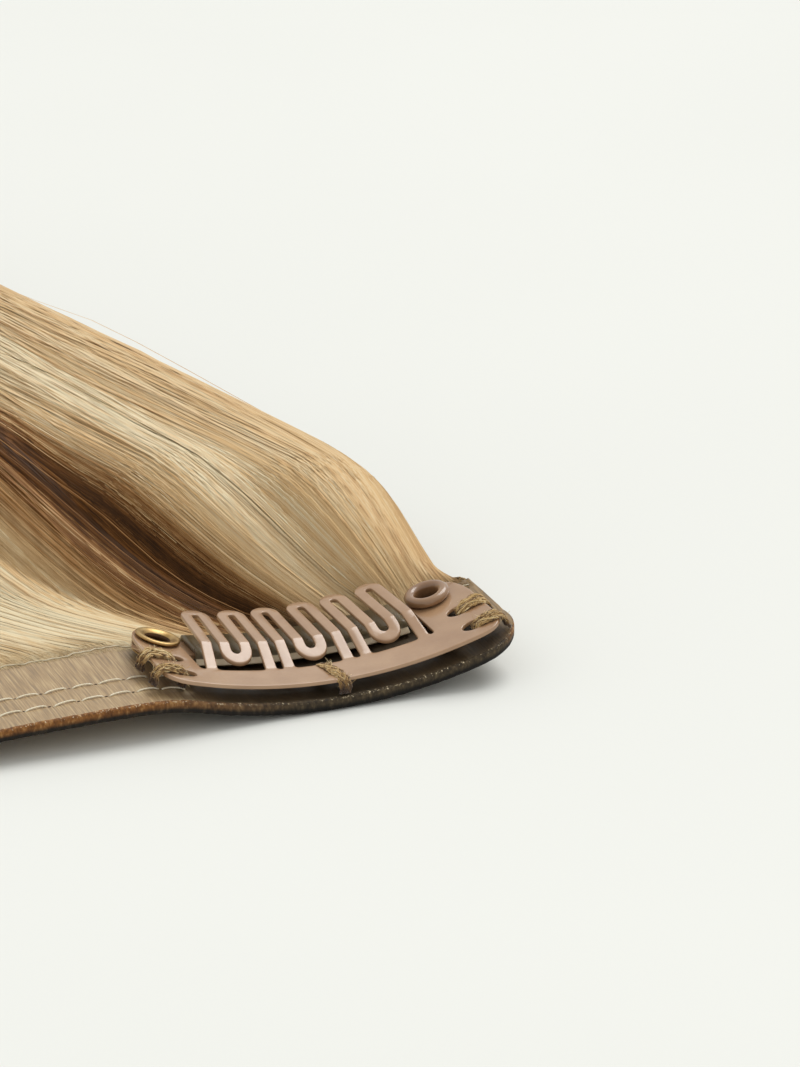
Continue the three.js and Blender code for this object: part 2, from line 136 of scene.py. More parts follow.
def add_piece(name, points, faces, materials, slot, replaces=(), uv=None, closed=True, kinds=None,
              normals=None):
    """A mesh from points in millimetres, riding on the part's one body."""
    mesh = bpy.data.meshes.new(name)
    mesh.from_pydata((np.reshape(points, (-1, 3)) + ORIGIN) * MM, [], faces)
    if closed:
        shell = bmesh.new()
        shell.from_mesh(mesh)
        bmesh.ops.recalc_face_normals(shell, faces=shell.faces)
        shell.to_mesh(mesh)
        shell.free()
    mesh.shade_smooth()
    if uv is not None:
        corner = np.empty(len(mesh.loops), np.int32)
        mesh.loops.foreach_get("vertex_index", corner)
        layer = mesh.uv_layers.new(name="OFBake")
        layer.data.foreach_set("uv", np.reshape(uv, (-1, 2)).astype(np.float32)[corner].ravel())
    for material in materials:
        mesh.materials.append(material)
    if kinds is not None:
        mesh.polygons.foreach_set("material_index", np.asarray(kinds, np.int32))
    if normals is not None:
        mesh.normals_split_custom_set_from_vertices(normals)
    piece = bpy.data.objects.new(name, mesh)
    bpy.context.scene.collection.objects.link(piece)
    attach(piece, "root")
    if replaces:
        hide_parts(*replaces)


def joined(parts):
    """Several sets of points and faces as one."""
    points = np.vstack([part[0] for part in parts])
    starts = np.cumsum([0] + [len(part[0]) for part in parts[:-1]])
    faces = [[int(v) + start for v in face] for (_, part), start in zip(parts, starts) for face in part]
    return points, faces


def ring_faces(rows, steps, sides, wraps=True):
    """Quads of a number of grids of points, each of some steps along and some sides round."""
    index = np.arange(rows * steps * sides).reshape(rows, steps, sides)
    after = np.roll(index, -1, 2)
    if not wraps:
        index, after = index[:, :, :-1], after[:, :, :-1]
    quads = np.stack([index[:, :-1], index[:, 1:], after[:, 1:], after[:, :-1]], -1)
    return quads.reshape(-1, 4)


def capped_faces(rows, steps, sides):
    """Quads round a number of grids of points, and after them a face at each end of each grid."""
    index = np.arange(rows * steps * sides).reshape(rows, steps, sides)
    caps = np.concatenate([index[:, 0], index[:, -1, ::-1]])
    return ring_faces(rows, steps, sides).tolist() + caps.tolist()


def torus_faces(steps, sides):
    """Quads of a grid that closes on itself both ways."""
    index = np.arange(steps * sides).reshape(steps, sides)
    side, ahead = np.roll(index, -1, 1), np.roll(index, -1, 0)
    return np.stack([index, ahead, np.roll(side, -1, 0), side], -1).reshape(-1, 4).tolist()


def around(sides):
    """Angles at even steps round a circle."""
    return np.arange(sides) * TURN / sides


def tubes(paths, radii, sides, across):
    """Closed tubes along rows of points. Across is a direction that no path runs along."""
    rows, steps = paths.shape[:2]
    ahead = unit(np.gradient(paths, axis=1))
    first = unit(np.cross(ahead, across))
    second = np.cross(first, ahead)
    turn = around(sides)
    ring = first[:, :, None] * np.cos(turn)[:, None] + second[:, :, None] * np.sin(turn)[:, None]
    points = paths[:, :, None] + ring * np.broadcast_to(radii, (rows, steps))[:, :, None, None]
    return points.reshape(-1, 3), capped_faces(rows, steps, sides)


def run_lengths(points):
    """How far along a line of points each of them lies."""
    return np.concatenate([[0], np.cumsum(np.linalg.norm(np.diff(points, axis=0), axis=1))])


def eased(points, count, passes):
    """A smooth path through a few points."""
    points = np.asarray(points, float)
    along = run_lengths(points)
    at = np.linspace(0, along[-1], count)
    path = np.column_stack([np.interp(at, along, column) for column in points.T])
    for _ in range(passes):
        path[1:-1] = (path[:-2] + 2 * path[1:-1] + path[2:]) / 4
    return path


# Helpers for materials

def colour(code):
    """A colour written as in a paint program, as the light that it stands for."""
    shares = [int(code[i:i + 2], 16) / 255 for i in (0, 2, 4)]
    return tuple(s / 12.92 if s <= 0.04045 else ((s + 0.055) / 1.055) ** 2.4 for s in shares) + (1.0,)


def grey(level):
    """A plain grey whose light is a level from 0 to 1, written as in a paint program."""
    share = level * 12.92 if level <= 0.0031308 else 1.055 * level ** (1 / 2.4) - 0.055
    return f"{round(255 * share):02X}" * 3


class Finish:
    """A material with one shader, and the nodes that drive it."""

    def __init__(self, name, **sockets):
        self.material = bpy.data.materials.new(name)
        self.material.use_nodes = True
        self.tree = self.material.node_tree
        self.shader = self.tree.nodes["Principled BSDF"]
        for socket, value in sockets.items():
            self.shader.inputs[socket.replace("_", " ")].default_value = value

    def node(self, kind, inputs=(), **settings):
        """A new node: inputs holds pairs of a socket's name or number and a value or an output."""
        made = self.tree.nodes.new(kind)
        for name, value in settings.items():
            setattr(made, name, value)
        for socket, value in inputs:
            if isinstance(value, bpy.types.NodeSocket):
                self.tree.links.new(value, made.inputs[socket])
            else:
                made.inputs[socket].default_value = value
        return made

    def link(self, socket, output):
        self.tree.links.new(output, self.shader.inputs[socket])

    def grain(self, per_mm, detail=2.0):
        """Noise over the object with a number of features a millimetre, one for all or for X, Y and Z."""
        place = self.node("ShaderNodeTexCoord").outputs["Object"]
        scale = [float(n) / MM for n in np.broadcast_to(per_mm, 3)]
        mapped = self.node("ShaderNodeMapping", [("Vector", place), ("Scale", scale)]).outputs["Vector"]
        inputs = [("Vector", mapped), ("Scale", 1.0), ("Detail", detail)]
        return self.node("ShaderNodeTexNoise", inputs).outputs["Fac"]

    def ramp(self, factor, *stops):
        """Colours by a factor: each stop is a place from 0 to 1 and a colour."""
        made = self.node("ShaderNodeValToRGB", [("Fac", factor)])
        elements = made.color_ramp.elements
        while len(elements) < len(stops):
            elements.new(0.5)
        for element, (place, code) in zip(elements, stops):
            element.position = place
            element.color = colour(code)
        return made.outputs["Color"]

    def mix(self, factor, first, second, kind="MIX"):
        inputs = [(0, factor), (6, first), (7, second)]
        return self.node("ShaderNodeMix", inputs, data_type="RGBA", blend_type=kind).outputs[2]

    def scaled(self, value, factor, added):
        """A value times a factor, plus another."""
        inputs = list(enumerate((value, factor, added)))
        return self.node("ShaderNodeMath", inputs, operation="MULTIPLY_ADD").outputs[0]

    def speckled(self, tone, noise, amount, drop):
        """A tone with some noise added, less a drop."""
        return self.scaled(noise, amount, self.scaled(tone, 1.0, -drop))

    def rough(self, noise, spread, least):
        self.link("Roughness", self.scaled(noise, spread, least))

    def bump(self, height, depth_mm):
        inputs = [("Height", height), ("Distance", depth_mm * MM), ("Strength", 1.0)]
        self.link("Normal", self.node("ShaderNodeBump", inputs).outputs["Normal"])

    def uv(self):
        """The U and V of a piece's own map."""
        place = self.node("ShaderNodeUVMap", uv_map="OFBake").outputs["UV"]
        parts = self.node("ShaderNodeSeparateXYZ", [("Vector", place)])
        return parts.outputs["X"], parts.outputs["Y"]


def clouded(name, low, high, per_mm, detail=3.0, ends=(0.3, 0.7), **sockets):
    """A finish whose colour drifts between two tones. Its cloud is the noise that they follow."""
    finish = Finish(name, **sockets)
    finish.cloud = finish.grain(per_mm, detail)
    finish.link("Base Color", finish.ramp(finish.cloud, (ends[0], low), (ends[1], high)))
    return finish


# Tone of the hair by where it leaves the band, from 0, brown, to 1, blond
TONES = np.array([
    (-51, 0.7), (-44, 0.9), (-38, 0.4), (-33, 0.75), (-24, 0.92), (-17, 0.4), (-10, 0.8), (-2, 0.92),
    (4, 0.65), (10, 0.9), (18, 0.94), (23, 0.98), (27, 0.95), (30, 0.87), (31.5, 0.76), (33, 0.52),
    (34.5, 0.31), (36, 0.2), (38.2, 0.2), (39.2, 0.66), (40, 0.84), (41.5, 0.93), (44, 0.96), (46, 0.83),
    (48, 0.74), (51, 0.68),
])
# Hair colours from brown, 0, to blond, 1
HAIR_COLOURS = ((0.0, "3A210C"), (0.25, "75491F"), (0.5, "AC8050"), (0.75, "DAB886"), (1.0, "E5D6B3"))
# Colour of the film over the hair, how far it veils the hair and from where to where it ends, and the
# length that V counts along a strand
VEIL = Sizes(code="958D70", share=0.45, full=-1.5, end=4.0, before=10.0, length=410.0)
# The shade below a clip: how far it reaches past the inner and the outer end, how far in from the outer
# end it is full, and the length of its fade at the inner end on the film and on the cut edge
SHADE = Sizes(inner=1.2, outer=0.8, into=0.6, film_fade=6.0, edge_fade=12.0)
BLACK, WHITE = "000000", "FFFFFF"


# Materials

def enamel_material(name, low, high):
    """Satin paint on stamped steel, a little mottled, with a fine orange peel."""
    finish = clouded(name, low, high, 0.35, Coat_Weight=0.8, Coat_Roughness=0.12)
    peel = finish.grain(5.0)
    finish.rough(peel, 0.24, 0.28)
    finish.bump(peel, 0.006)
    return finish.material


def brass_material():
    finish = clouded("brass", "AC8A55", "C9AC78", 1.2, Metallic=1.0)
    scratch = finish.grain((9.0, 2.0, 9.0))
    finish.rough(scratch, 0.25, 0.26)
    finish.bump(scratch, 0.004)
    return finish.material


def silicone_material():
    """A clear rubber, a little cloudy."""
    finish = clouded("silicone", "8A7858", "9A8968", 0.6, Transmission_Weight=0.45, IOR=1.41)
    finish.rough(finish.cloud, 0.2, 0.2)
    finish.bump(finish.cloud, 0.008)
    return finish.material


def thread_material():
    """Coarse fibres, each of its own tone by the map's U."""
    finish = Finish("thread", Roughness=0.8, Sheen_Weight=0.25, Sheen_Roughness=0.5)
    tone, _ = finish.uv()
    shade = finish.speckled(tone, finish.grain(3.0), 0.4, 0.2)
    stops = ((0.0, "3A2411"), (0.3, "8A6636"), (0.65, "C4A167"), (1.0, "EBD7A6"))
    finish.link("Base Color", finish.ramp(shade, *stops))
    finish.bump(finish.grain(20.0, 1.0), 0.01)
    return finish.material


def stitch_material():
    finish = clouded("stitch_thread", "DED2B2", "F6EDD6", 9.0, 1.0, (0.35, 0.65),
                     Roughness=0.6, Sheen_Weight=0.2)
    finish.bump(finish.cloud, 0.02)
    return finish.material


def hair_material():
    """Hair: U is the tone from brown to blond, V runs along it from under the film."""
    finish = Finish("hair_strand", Roughness=0.42, Specular_IOR_Level=0.13, Specular_Tint=(1, 0.86, 0.68, 1))
    tone, along = finish.uv()
    shade = finish.speckled(tone, finish.grain((1.5, 0.04, 0.6)), 0.2, 0.1)
    hair = finish.ramp(shade, *HAIR_COLOURS)
    full, end = ((back + VEIL.before) / VEIL.length for back in (VEIL.full, VEIL.end))
    veil = finish.ramp(along, (full, grey(VEIL.share)), (end, BLACK))
    finish.link("Base Color", finish.mix(veil, hair, colour(VEIL.code)))
    return finish.material


def hair_under_material():
    """The mass of hair below the strands, drawn as fine lines."""
    finish = Finish("hair_under", Roughness=0.6, Specular_IOR_Level=0.2)
    tone, _ = finish.uv()
    line = finish.grain((6.0, 0.05, 3.0), 3.0)
    shade = finish.speckled(tone, line, 0.5, 0.3)
    finish.link("Base Color", finish.ramp(shade, *HAIR_COLOURS))
    finish.bump(line, 0.08)
    return finish.material


def clip_shade(finish, along, level, fade):
    """Painted shade below the clips: 1 beside them, a lower level under each, reached over a fade."""
    inner, outer = CLIP.centre - PAD.left - SHADE.inner, CLIP.centre + PAD.right
    right = [(inner, 1), (inner + fade, level), (outer - SHADE.into, level), (outer + SHADE.outer, 1)]
    stops = [(-x, shade) for x, shade in right[::-1]] + right
    return finish.ramp(along, *[(x / BAND.width + 0.5, grey(shade)) for x, shade in stops])


def film_material():
    """Hair bonded under clear film: the hair's own tones along the band, dark streaks, a soft gloss and
    painted shade below the clips.
    """
    finish = Finish("weft_film", Coat_Weight=0.25, Coat_Roughness=0.4)
    along, _ = finish.uv()
    streak = finish.grain((8.0, 0.3, 1.0), 3.0)
    tone = finish.ramp(along, *[(x / BAND.width + 0.5, grey(0.02 + 0.52 * level)) for x, level in TONES])
    hair = finish.ramp(finish.speckled(tone, streak, 1.2, 0.6), *HAIR_COLOURS)
    veiled = finish.mix(VEIL.share, hair, colour(VEIL.code))
    # Painted shade: the film darkens below each clip
    shade = clip_shade(finish, along, 0.2, SHADE.film_fade)
    finish.link("Base Color", finish.mix(1.0, veiled, shade, "MULTIPLY"))
    finish.rough(streak, 0.3, 0.34)
    finish.bump(streak, 0.03)
    return finish.material


def cut_edge_material():
    """The band's cut edge: dark hair ends below, a lip above, painted shade below the clips and painted
    glints along the fold.
    """
    finish = Finish("weft_cut_edge", Specular_IOR_Level=0.2)
    along, up = finish.uv()
    ends = finish.grain((3.5, 3.5, 2.0), 4.0)
    dark, lip, shaded_lip = (finish.ramp(ends, *zip((0.3, 0.55, 0.75), codes)) for codes in (
        ("100C07", "211A12", "40372B"), ("583517", "84562A", "B08450"), ("4A3E2D", "6E5D45", "968262")))
    # Painted shade: below the clips the lip turns greyer and the whole edge darker
    lip = finish.mix(clip_shade(finish, along, 0.0, SHADE.edge_fade), shaded_lip, lip)
    base = finish.mix(finish.ramp(up, (0.35, BLACK), (0.68, WHITE)), dark, lip)
    base = finish.mix(1.0, base, clip_shade(finish, along, 0.42, SHADE.edge_fade), "MULTIPLY")
    # Painted glints: pale specks of the film where the edge folds over at its top
    glint_spots = finish.ramp(finish.grain(6.0), (0.6, BLACK), (0.72, WHITE))
    fold = finish.ramp(up, (0.8, BLACK), (0.95, WHITE))
    painted_glints = finish.mix(1.0, glint_spots, fold, "MULTIPLY")
    finish.link("Base Color", finish.mix(painted_glints, base, colour("E2D0AC")))
    finish.rough(ends, 0.3, 0.4)
    finish.bump(ends, 0.08)
    return finish.material


ENAMEL = enamel_material("enamel", "A07B59", "AF8B68")
RIVET_PAINT = enamel_material("rivet_paint", "835F40", "94704E")
BRASS = brass_material()
SILICONE = silicone_material()
THREAD = thread_material()
STITCH = stitch_material()
STRAND = hair_material()
UNDER_HAIR = hair_under_material()
FILM = film_material()
CUT_EDGE = cut_edge_material()
# The brass inside the bore, painted dark as the shade in the hole
BORE_SHADE = clouded("brass_bore_shade", "3A2410", "5E3E1A", 2.0, Metallic=0.6, Roughness=0.5).material
# The sleeve's front ledge, painted pale as a highlight of light coming through the silicone's edge
SILICONE_LEDGE_HIGHLIGHT = clouded("silicone_ledge_highlight", "F6E0BC", "FFECCC", 1.5, 2.0, Roughness=0.4).material
# The film's thin clear edge over the roots of the hair
FILM_EDGE = clouded("film_edge", "C9B892", "EADFC4", 1.5, Roughness=0.35, Alpha=0.6).material
# Needle holes, painted dark as the shade inside each hole
HOLE = clouded("needle_hole", "2E2118", "4A382A", 6.0, 2.0, Roughness=0.9).material
FLOOR = clouded("floor", "E4E5E0", "E6E7E2", 0.01, 2.0, Roughness=0.75, Specular_IOR_Level=0.2).material


# The weft band

SKIN = Sizes(step=0.3, turns=14, rows=34, nose_steps=7, ragged=0.05, uneven=0.03, pucker=0.07,
             pucker_wide=0.35)
STITCHES = Sizes(rows=(2.65, 5.15), pitch=2.15, length=1.8, radius=0.066, arch=0.11, inset=2.0, bow=0.1,
                 sunk=0.05, slip=0.05, stretch=(0.92, 1.05), skew=(0.1, 0.04), steps=9, sides=8)
NEEDLE = Sizes(half_length=0.13, half_width=0.08, sunk=0.03, dome=0.012, sides=10)


def band_lift(x):
    """Height of the band's underside: it hugs each clip and arches between the two."""
    radius = CLIP.camber + CLIP.stack
    inward = CLIP.centre - np.minimum(np.abs(x), BAND.width / 2)
    near = np.minimum(inward, ARCH.leave)
    arc = radius - np.sqrt(radius ** 2 - near ** 2)
    slope = ARCH.leave / math.sqrt(radius ** 2 - ARCH.leave ** 2)
    past = np.clip(inward - ARCH.leave, 0, ARCH.level)
    crest = CLIP.centre - ARCH.leave - ARCH.level
    sag = ARCH.sag * (1 - smoothstep(0, crest, np.abs(x)))
    return arc + slope * (past - past ** 2 / (2 * ARCH.level)) - sag * (inward > ARCH.leave)


def band_front(x):
    into = np.maximum(np.abs(x) - (BAND.width / 2 - BAND.corner), 0)
    return BAND.corner - np.sqrt(np.maximum(BAND.corner ** 2 - into ** 2, 0))


def band_stations():
    straight = BAND.width / 2 - BAND.corner
    turn = np.linspace(0, math.pi / 2, SKIN.turns)[1:]
    ends = straight + BAND.corner * np.sin(turn)
    middle = np.linspace(-straight, straight, round(2 * straight / SKIN.step) + 1)
    return np.concatenate([-ends[::-1], middle, ends])


def build_band():
    """The band as a loft along X, with a rounded cut edge, puckered at its two rows of stitches."""
    x = band_stations()[:, None]
    front = band_front(x) + SKIN.ragged * waves(x, (0.7, 1.3, 2.9, 6.1))
    arc = np.linspace(0, math.pi / 2, SKIN.nose_steps)
    deep = np.linspace(1, 0, SKIN.rows)
    top_y = front + BAND.nose + (BAND.depth - front - BAND.nose) * deep
    pucker = sum(np.exp(-((top_y - row) / SKIN.pucker_wide) ** 2) for row in STITCHES.rows)
    top_z = BAND.thick - SKIN.pucker * pucker + SKIN.uneven * waves(x + 0.2 * top_y, (1.1, 2.3, 5.3))
    upper_y = front + BAND.nose * (1 - np.sin(arc))
    upper_z = BAND.thick - BAND.nose * (1 - np.cos(arc)) + 0 * x
    lower_y = front + BAND.nose * (1 - np.cos(arc))
    lower_z = BAND.nose * (1 - np.sin(arc)) + 0 * x
    under_y = front + BAND.nose + (BAND.depth - front - BAND.nose) * deep[::-2]
    y = np.hstack([top_y, upper_y[:, 1:], lower_y, under_y[:, 1:]])
    z = np.hstack([top_z, upper_z[:, 1:], lower_z, 0 * under_y[:, 1:]])
    points = stacked(x, y, z + band_lift(x))
    faces = capped_faces(1, *y.shape)
    cut = range(len(deep) - 1, len(deep) + 2 * len(arc) - 2)
    kinds = [int(face[0] % y.shape[1] in cut) for face in faces[:-2]] + [1, 1]
    uv = stacked(x / BAND.width + 0.5, z / BAND.thick)
    add_piece("weft_band_skin", points, faces, [FILM, CUT_EDGE], "weft_film", replaces=["weft_band"],
              uv=uv, kinds=kinds)


def build_stitches():
    """Two rows of running stitches, each a short arched thread between two needle holes."""
    reach = BAND.width / 2 - STITCHES.inset
    count = int(2 * reach / STITCHES.pitch)
    share = np.linspace(-1, 1, STITCHES.steps)
    threads, holes = [], []
    for row in STITCHES.rows:
        middle = -reach + STITCHES.pitch * (np.arange(count) + 0.5) + RANDOM.normal(0, STITCHES.slip, count)
        middle = middle[np.abs(np.abs(middle) - CLIP.centre) > PAD.left - STITCHES.inset]
        length = STITCHES.length * RANDOM.uniform(*STITCHES.stretch, len(middle))
        skew = RANDOM.normal(*STITCHES.skew, len(middle))
        x = middle[:, None] + length[:, None] / 2 * share
        y = row + skew[:, None] * share + STITCHES.bow * (1 - share ** 2)
        z = band_lift(x) + BAND.thick - STITCHES.sunk + STITCHES.arch * (1 - share ** 4)
        threads.append(stacked(x, y, z))
        x = middle[:-1] + STITCHES.pitch / 2
        holes.append(stacked(x, row, band_lift(x) + BAND.thick - NEEDLE.sunk))
    paths = np.concatenate(threads)
    add_piece("stitches", *tubes(paths, STITCHES.radius, STITCHES.sides, (0, 1, 0)), [STITCH], "thread")
    centres = np.concatenate(holes)
    turn = around(NEEDLE.sides)
    ring = stacked(NEEDLE.half_length * np.cos(turn), NEEDLE.half_width * np.sin(turn), 0)
    rims = centres[:, None] + ring
    points = np.concatenate([rims.reshape(-1, 3), centres + [0, 0, NEEDLE.dome]])
    index = np.arange(len(centres) * NEEDLE.sides).reshape(-1, NEEDLE.sides)
    peak = np.broadcast_to(index.size + np.arange(len(centres))[:, None], index.shape)
    faces = np.stack([index, np.roll(index, -1, 1), peak], -1).reshape(-1, 3).tolist()
    add_piece("needle_holes", points, faces + index[:, ::-1].tolist(), [HOLE], "weft_film")


# The hair

BODY = Sizes(columns=210, inset=0.22, edge=0.3, fixed=40.0, short=36.0, thin=0.8, thin_over=(260, 350),
             lift=0.05, least=0.1, tone=0.95)
STRANDS = Sizes(count=12500, pieces=4, width=0.11, widths=(0.75, 1.2), depth=0.08, over_band=1.7, turn=0.25,
                glint=0.07, shortest=250.0, uneven=19.0, lowest=0.08, waver=0.2, waver_length=12.0,
                free_over=(4, 60), on_film=0.03, overlaps=(0.1, 1), overlap_over=(0, 6), flat=0.15,
                flat_over=(0, 8))
TAPER = Sizes(tip=0.75, tip_over=(0.55, 1.0), root=0.15, root_over=(0, 3))
CLUMPS = Sizes(count=900, spread=0.5, tone=0.045, depth=(-0.06, 0.08), gather=0.45, gathers=(0.3, 1),
               gather_over=(10, 80))
LOOSE = Sizes(share=0.07, lift=0.38, most=1.0, aside=0.8, length=(6.0, 26.0), between=(8.0, 260.0))
# How far a clump wanders aside and over what length, once it is clear of the band
WANDER = ((0.75, 17.0), (0.5, 9.0), (0.16, 4.5))
# How far strands of one tone lie among those of another: everywhere, on the left and far from the band
MINGLE = Sizes(near=0.35, left=1.3, left_over=(14, 4), far=2.2, far_over=(20, 150))
# How strands differ in tone: shares and steps of lowlights and of highlights in the brown, streaks, each
# strand by itself, how far that calms along the hair, and the drops on unlit slopes and at the roots
TINT = Sizes(low_share=0.1, low=-0.1, high_share=0.07, high=0.22, brown=(0.6, 0.3), streak=0.1,
             streaks=(0.7, 1.3, 2.3, 4.1), own=0.04, calm=0.5, calm_over=(25, 100), slope=0.2, lit=0.9,
             root=0.16, root_over=(-3, 7), least=0.03)
RELIEF = Sizes(lengths=np.array([1.9, 3.1, 4.7, 7.3]), high=0.3, start=3.0, full=30.0, bend=35.0, bent=0.8)
RELIEF.phases = RANDOM.uniform(0, TURN, (2, len(RELIEF.lengths)))
STRAND_STATIONS = np.array([0, 2, 4.5, 7, 9.5, 12, 15, 18, 21.5, 25, 29, 33, 38, 44, 51, 60, 71, 86, 107,
                            135, 175, 225, 280, 336, 392])


def lock_sections(back):
    """Centre, half width, foot and top of each lock at some distances behind the band."""
    back = np.asarray(back, float)[..., None]
    share = back / HAIR.reach
    sway = LOCKS.sway * SLIDE.sway * np.tanh(back / SLIDE.sway_length)
    lean = SLIDE.lean * SLIDE.lean_length * np.tanh(back / SLIDE.lean_length)
    wander = LOCKS.wander * np.sin(TURN * share)
    centre = LOCKS.at * (1 - HAIR.taper * share) - sway - lean + wander
    settled = smoothstep(0, HAIR.settle, back)
    sunk = (1 - LOCK.left) * smoothstep(LOCK.sink, LOCK.thin_by, back)
    begun = smoothstep(LOCKS.onset, LOCKS.onset + LOCKS.length, 0)
    swell = (smoothstep(LOCKS.onset, LOCKS.onset + LOCKS.length, back) - begun) / (1 - begun) * (1 - sunk)
    end = HAIR.reach - LOCKS.short
    feather = smoothstep(end - FEATHER.length, end, back)
    low = band_lift(LOCKS.at) * (1 - settled)
    full = BAND.thick * (1 - settled) + HAIR.flat * settled + LOCKS.hump * swell
    high = low + full * (1 - (1 - FEATHER.height) * feather)
    spread = LOCKS.start + (LOCKS.wide - LOCKS.start) * smoothstep(0, HAIR.fan, back)
    half = spread * (1 - HAIR.taper * share) * (1 - (1 - FEATHER.width) * feather)
    return centre, half, low, high


def either_side(values, place):
    """The values at a place along the last axis, and at the next."""
    return (np.take_along_axis(values, at[..., None], -1)[..., 0] for at in (place, place + 1))


def hair_top(x, back, sharpness=10, dip=0.25, dip_full=20, header_end=9):
    """Height of the fall's upper side: a sheet of hair laid over the locks, and the header at the band."""
    x = np.asarray(x, float)
    centre, half, low, high = lock_sections(back)
    across = np.clip((x[..., None] - centre) / half, -1, 1)
    rise = np.maximum(1 - across ** 2, 0) ** (LOCK.roundness / 2)
    height = np.where(rise > 0, low + (high - low) * rise, 0)
    blended = (height ** sharpness).sum(-1) ** (1 / sharpness)
    left = np.clip((x[..., None] > centre).sum(-1) - 1, 0, centre.shape[-1] - 2)
    near, far = either_side(centre, left)
    near_top, far_top = either_side(high, left)
    share = (x - near) / (far - near)
    sheet = near_top + (far_top - near_top) * (share + smoothstep(0, 1, share)) / 2
    sheet = sheet - 4 * dip * share * (1 - share) * smoothstep(0, dip_full, back)
    covered = np.where((share >= 0) & (share <= 1), sheet, 0)
    header = (band_lift(x) + BAND.thick) * (1 - smoothstep(0, header_end, back))
    return np.maximum(np.maximum(blended, covered), header)


def hair_path(root, back):
    """Where a strand that leaves the band at a place lies some way behind it."""
    centre, half, _, _ = lock_sections(np.maximum(back, 0))
    knots = np.concatenate([centre[..., :1] - half[..., :1], centre, centre[..., -1:] + half[..., -1:]], -1)
    roots = np.concatenate([HAIR_EDGES[:1], LOCKS.at, HAIR_EDGES[1:]])
    place = np.clip(np.searchsorted(roots, root) - 1, 0, len(roots) - 2)
    share = (root - roots[place]) / (roots[place + 1] - roots[place])
    near, far = either_side(knots, place)
    return near + share * (far - near)


def hair_tone(root):
    return np.interp(root, TONES[:, 0], TONES[:, 1])


def hair_end(root):
    """How far behind the band the lock round a place ends."""
    return HAIR.reach - np.interp(root, LOCKS.at, LOCKS.short)


def hair_relief(root, back):
    """Soft ridges along the hair, told by where it leaves the band: their height and their slope across."""
    angle = TURN * root[..., None] / RELIEF.lengths + RELIEF.phases[0]
    angle = angle + RELIEF.bent * np.sin(back[..., None] / RELIEF.bend + RELIEF.phases[1])
    high = RELIEF.high * smoothstep(RELIEF.start, RELIEF.full, back)
    share = RELIEF.lengths / RELIEF.lengths.sum()
    height = (share * np.sin(angle)).sum(-1) * high
    slope = (share * TURN / RELIEF.lengths * np.cos(angle)).sum(-1) * high
    return height, slope


def build_hair_body():
    """The mass of hair under the strands, drawn in a little from the locks' outer form."""
    fixed = BODY.fixed
    back = np.concatenate([np.arange(0, fixed, 1.0), np.arange(fixed, 120, 3.0), np.arange(120, 361, 8.0)])
    root = np.linspace(HAIR_EDGES[0] + BODY.edge, HAIR_EDGES[1] - BODY.edge, BODY.columns)
    ends = (hair_end(root) - BODY.short) / back[-1]
    steps = np.where(back[:, None] < fixed, back[:, None], fixed + (back[:, None] - fixed) * ends)
    roots = np.broadcast_to(root, steps.shape)
    x = hair_path(roots, steps)
    y = BAND.depth + GAP + steps
    thin = 1 - BODY.thin * smoothstep(*BODY.thin_over, steps)
    foot = band_lift(x) * (1 - smoothstep(0, HAIR.settle, steps)) + BODY.lift
    top = hair_top(x, steps) * thin + hair_relief(roots, steps)[0] - BODY.inset
    upper = stacked(x, y, np.maximum(foot + BODY.least, top))
    lower = stacked(x, y, foot)
    uv = stacked(hair_tone(root) * BODY.tone, steps / HAIR.reach)
    grid, uv = (np.concatenate([one, other[:, ::-1]], 1) for one, other in ((upper, lower), (uv, uv)))
    add_piece("hair_body", grid, capped_faces(1, *grid.shape[:2]), [UNDER_HAIR], "hair",
              replaces=["hair_fall"], uv=uv)


def hair_normal(x, back, step=0.6, steepest=1.5):
    """The upper side's direction, from its slopes across and along the hair."""
    across = (hair_top(x + step, back) - hair_top(x - step, back)) / (2 * step)
    along = (hair_top(x, back + step) - hair_top(x, np.maximum(back - step, 0))) / (2 * step)
    return unit(stacked(-np.clip(across, -steepest, steepest), -along, 1))


def strand_ribbons(path, width, turn):
    """Flat ribbons along rows of points, each turned about its length: points, faces, the way across."""
    ahead = unit(np.gradient(path, axis=1))
    level = unit(np.cross(ahead, (0, 0, 1)))
    above = np.cross(level, ahead)
    side = level * np.cos(turn)[:, None, None] + above * np.sin(turn)[:, None, None]
    half = side * (width / 2)[..., None]
    points = np.stack([path - half, path + half], 2)
    return points, ring_faces(*path.shape[:2], 2, wraps=False)[:, ::-1], level


def spread_roots(count, samples=400):
    """Places along the band: half of them even there, half even where the hair has fanned out."""
    even = RANDOM.uniform(*HAIR_EDGES, count)
    places = np.linspace(*HAIR_EDGES, samples)
    fanned = hair_path(places, np.full(samples, HAIR.fan))
    back_in = np.interp(RANDOM.uniform(fanned[0], fanned[-1], count), fanned, places)
    return np.where(np.arange(count) % 2 == 0, even, back_in)


def column(values):
    return values[:, None]


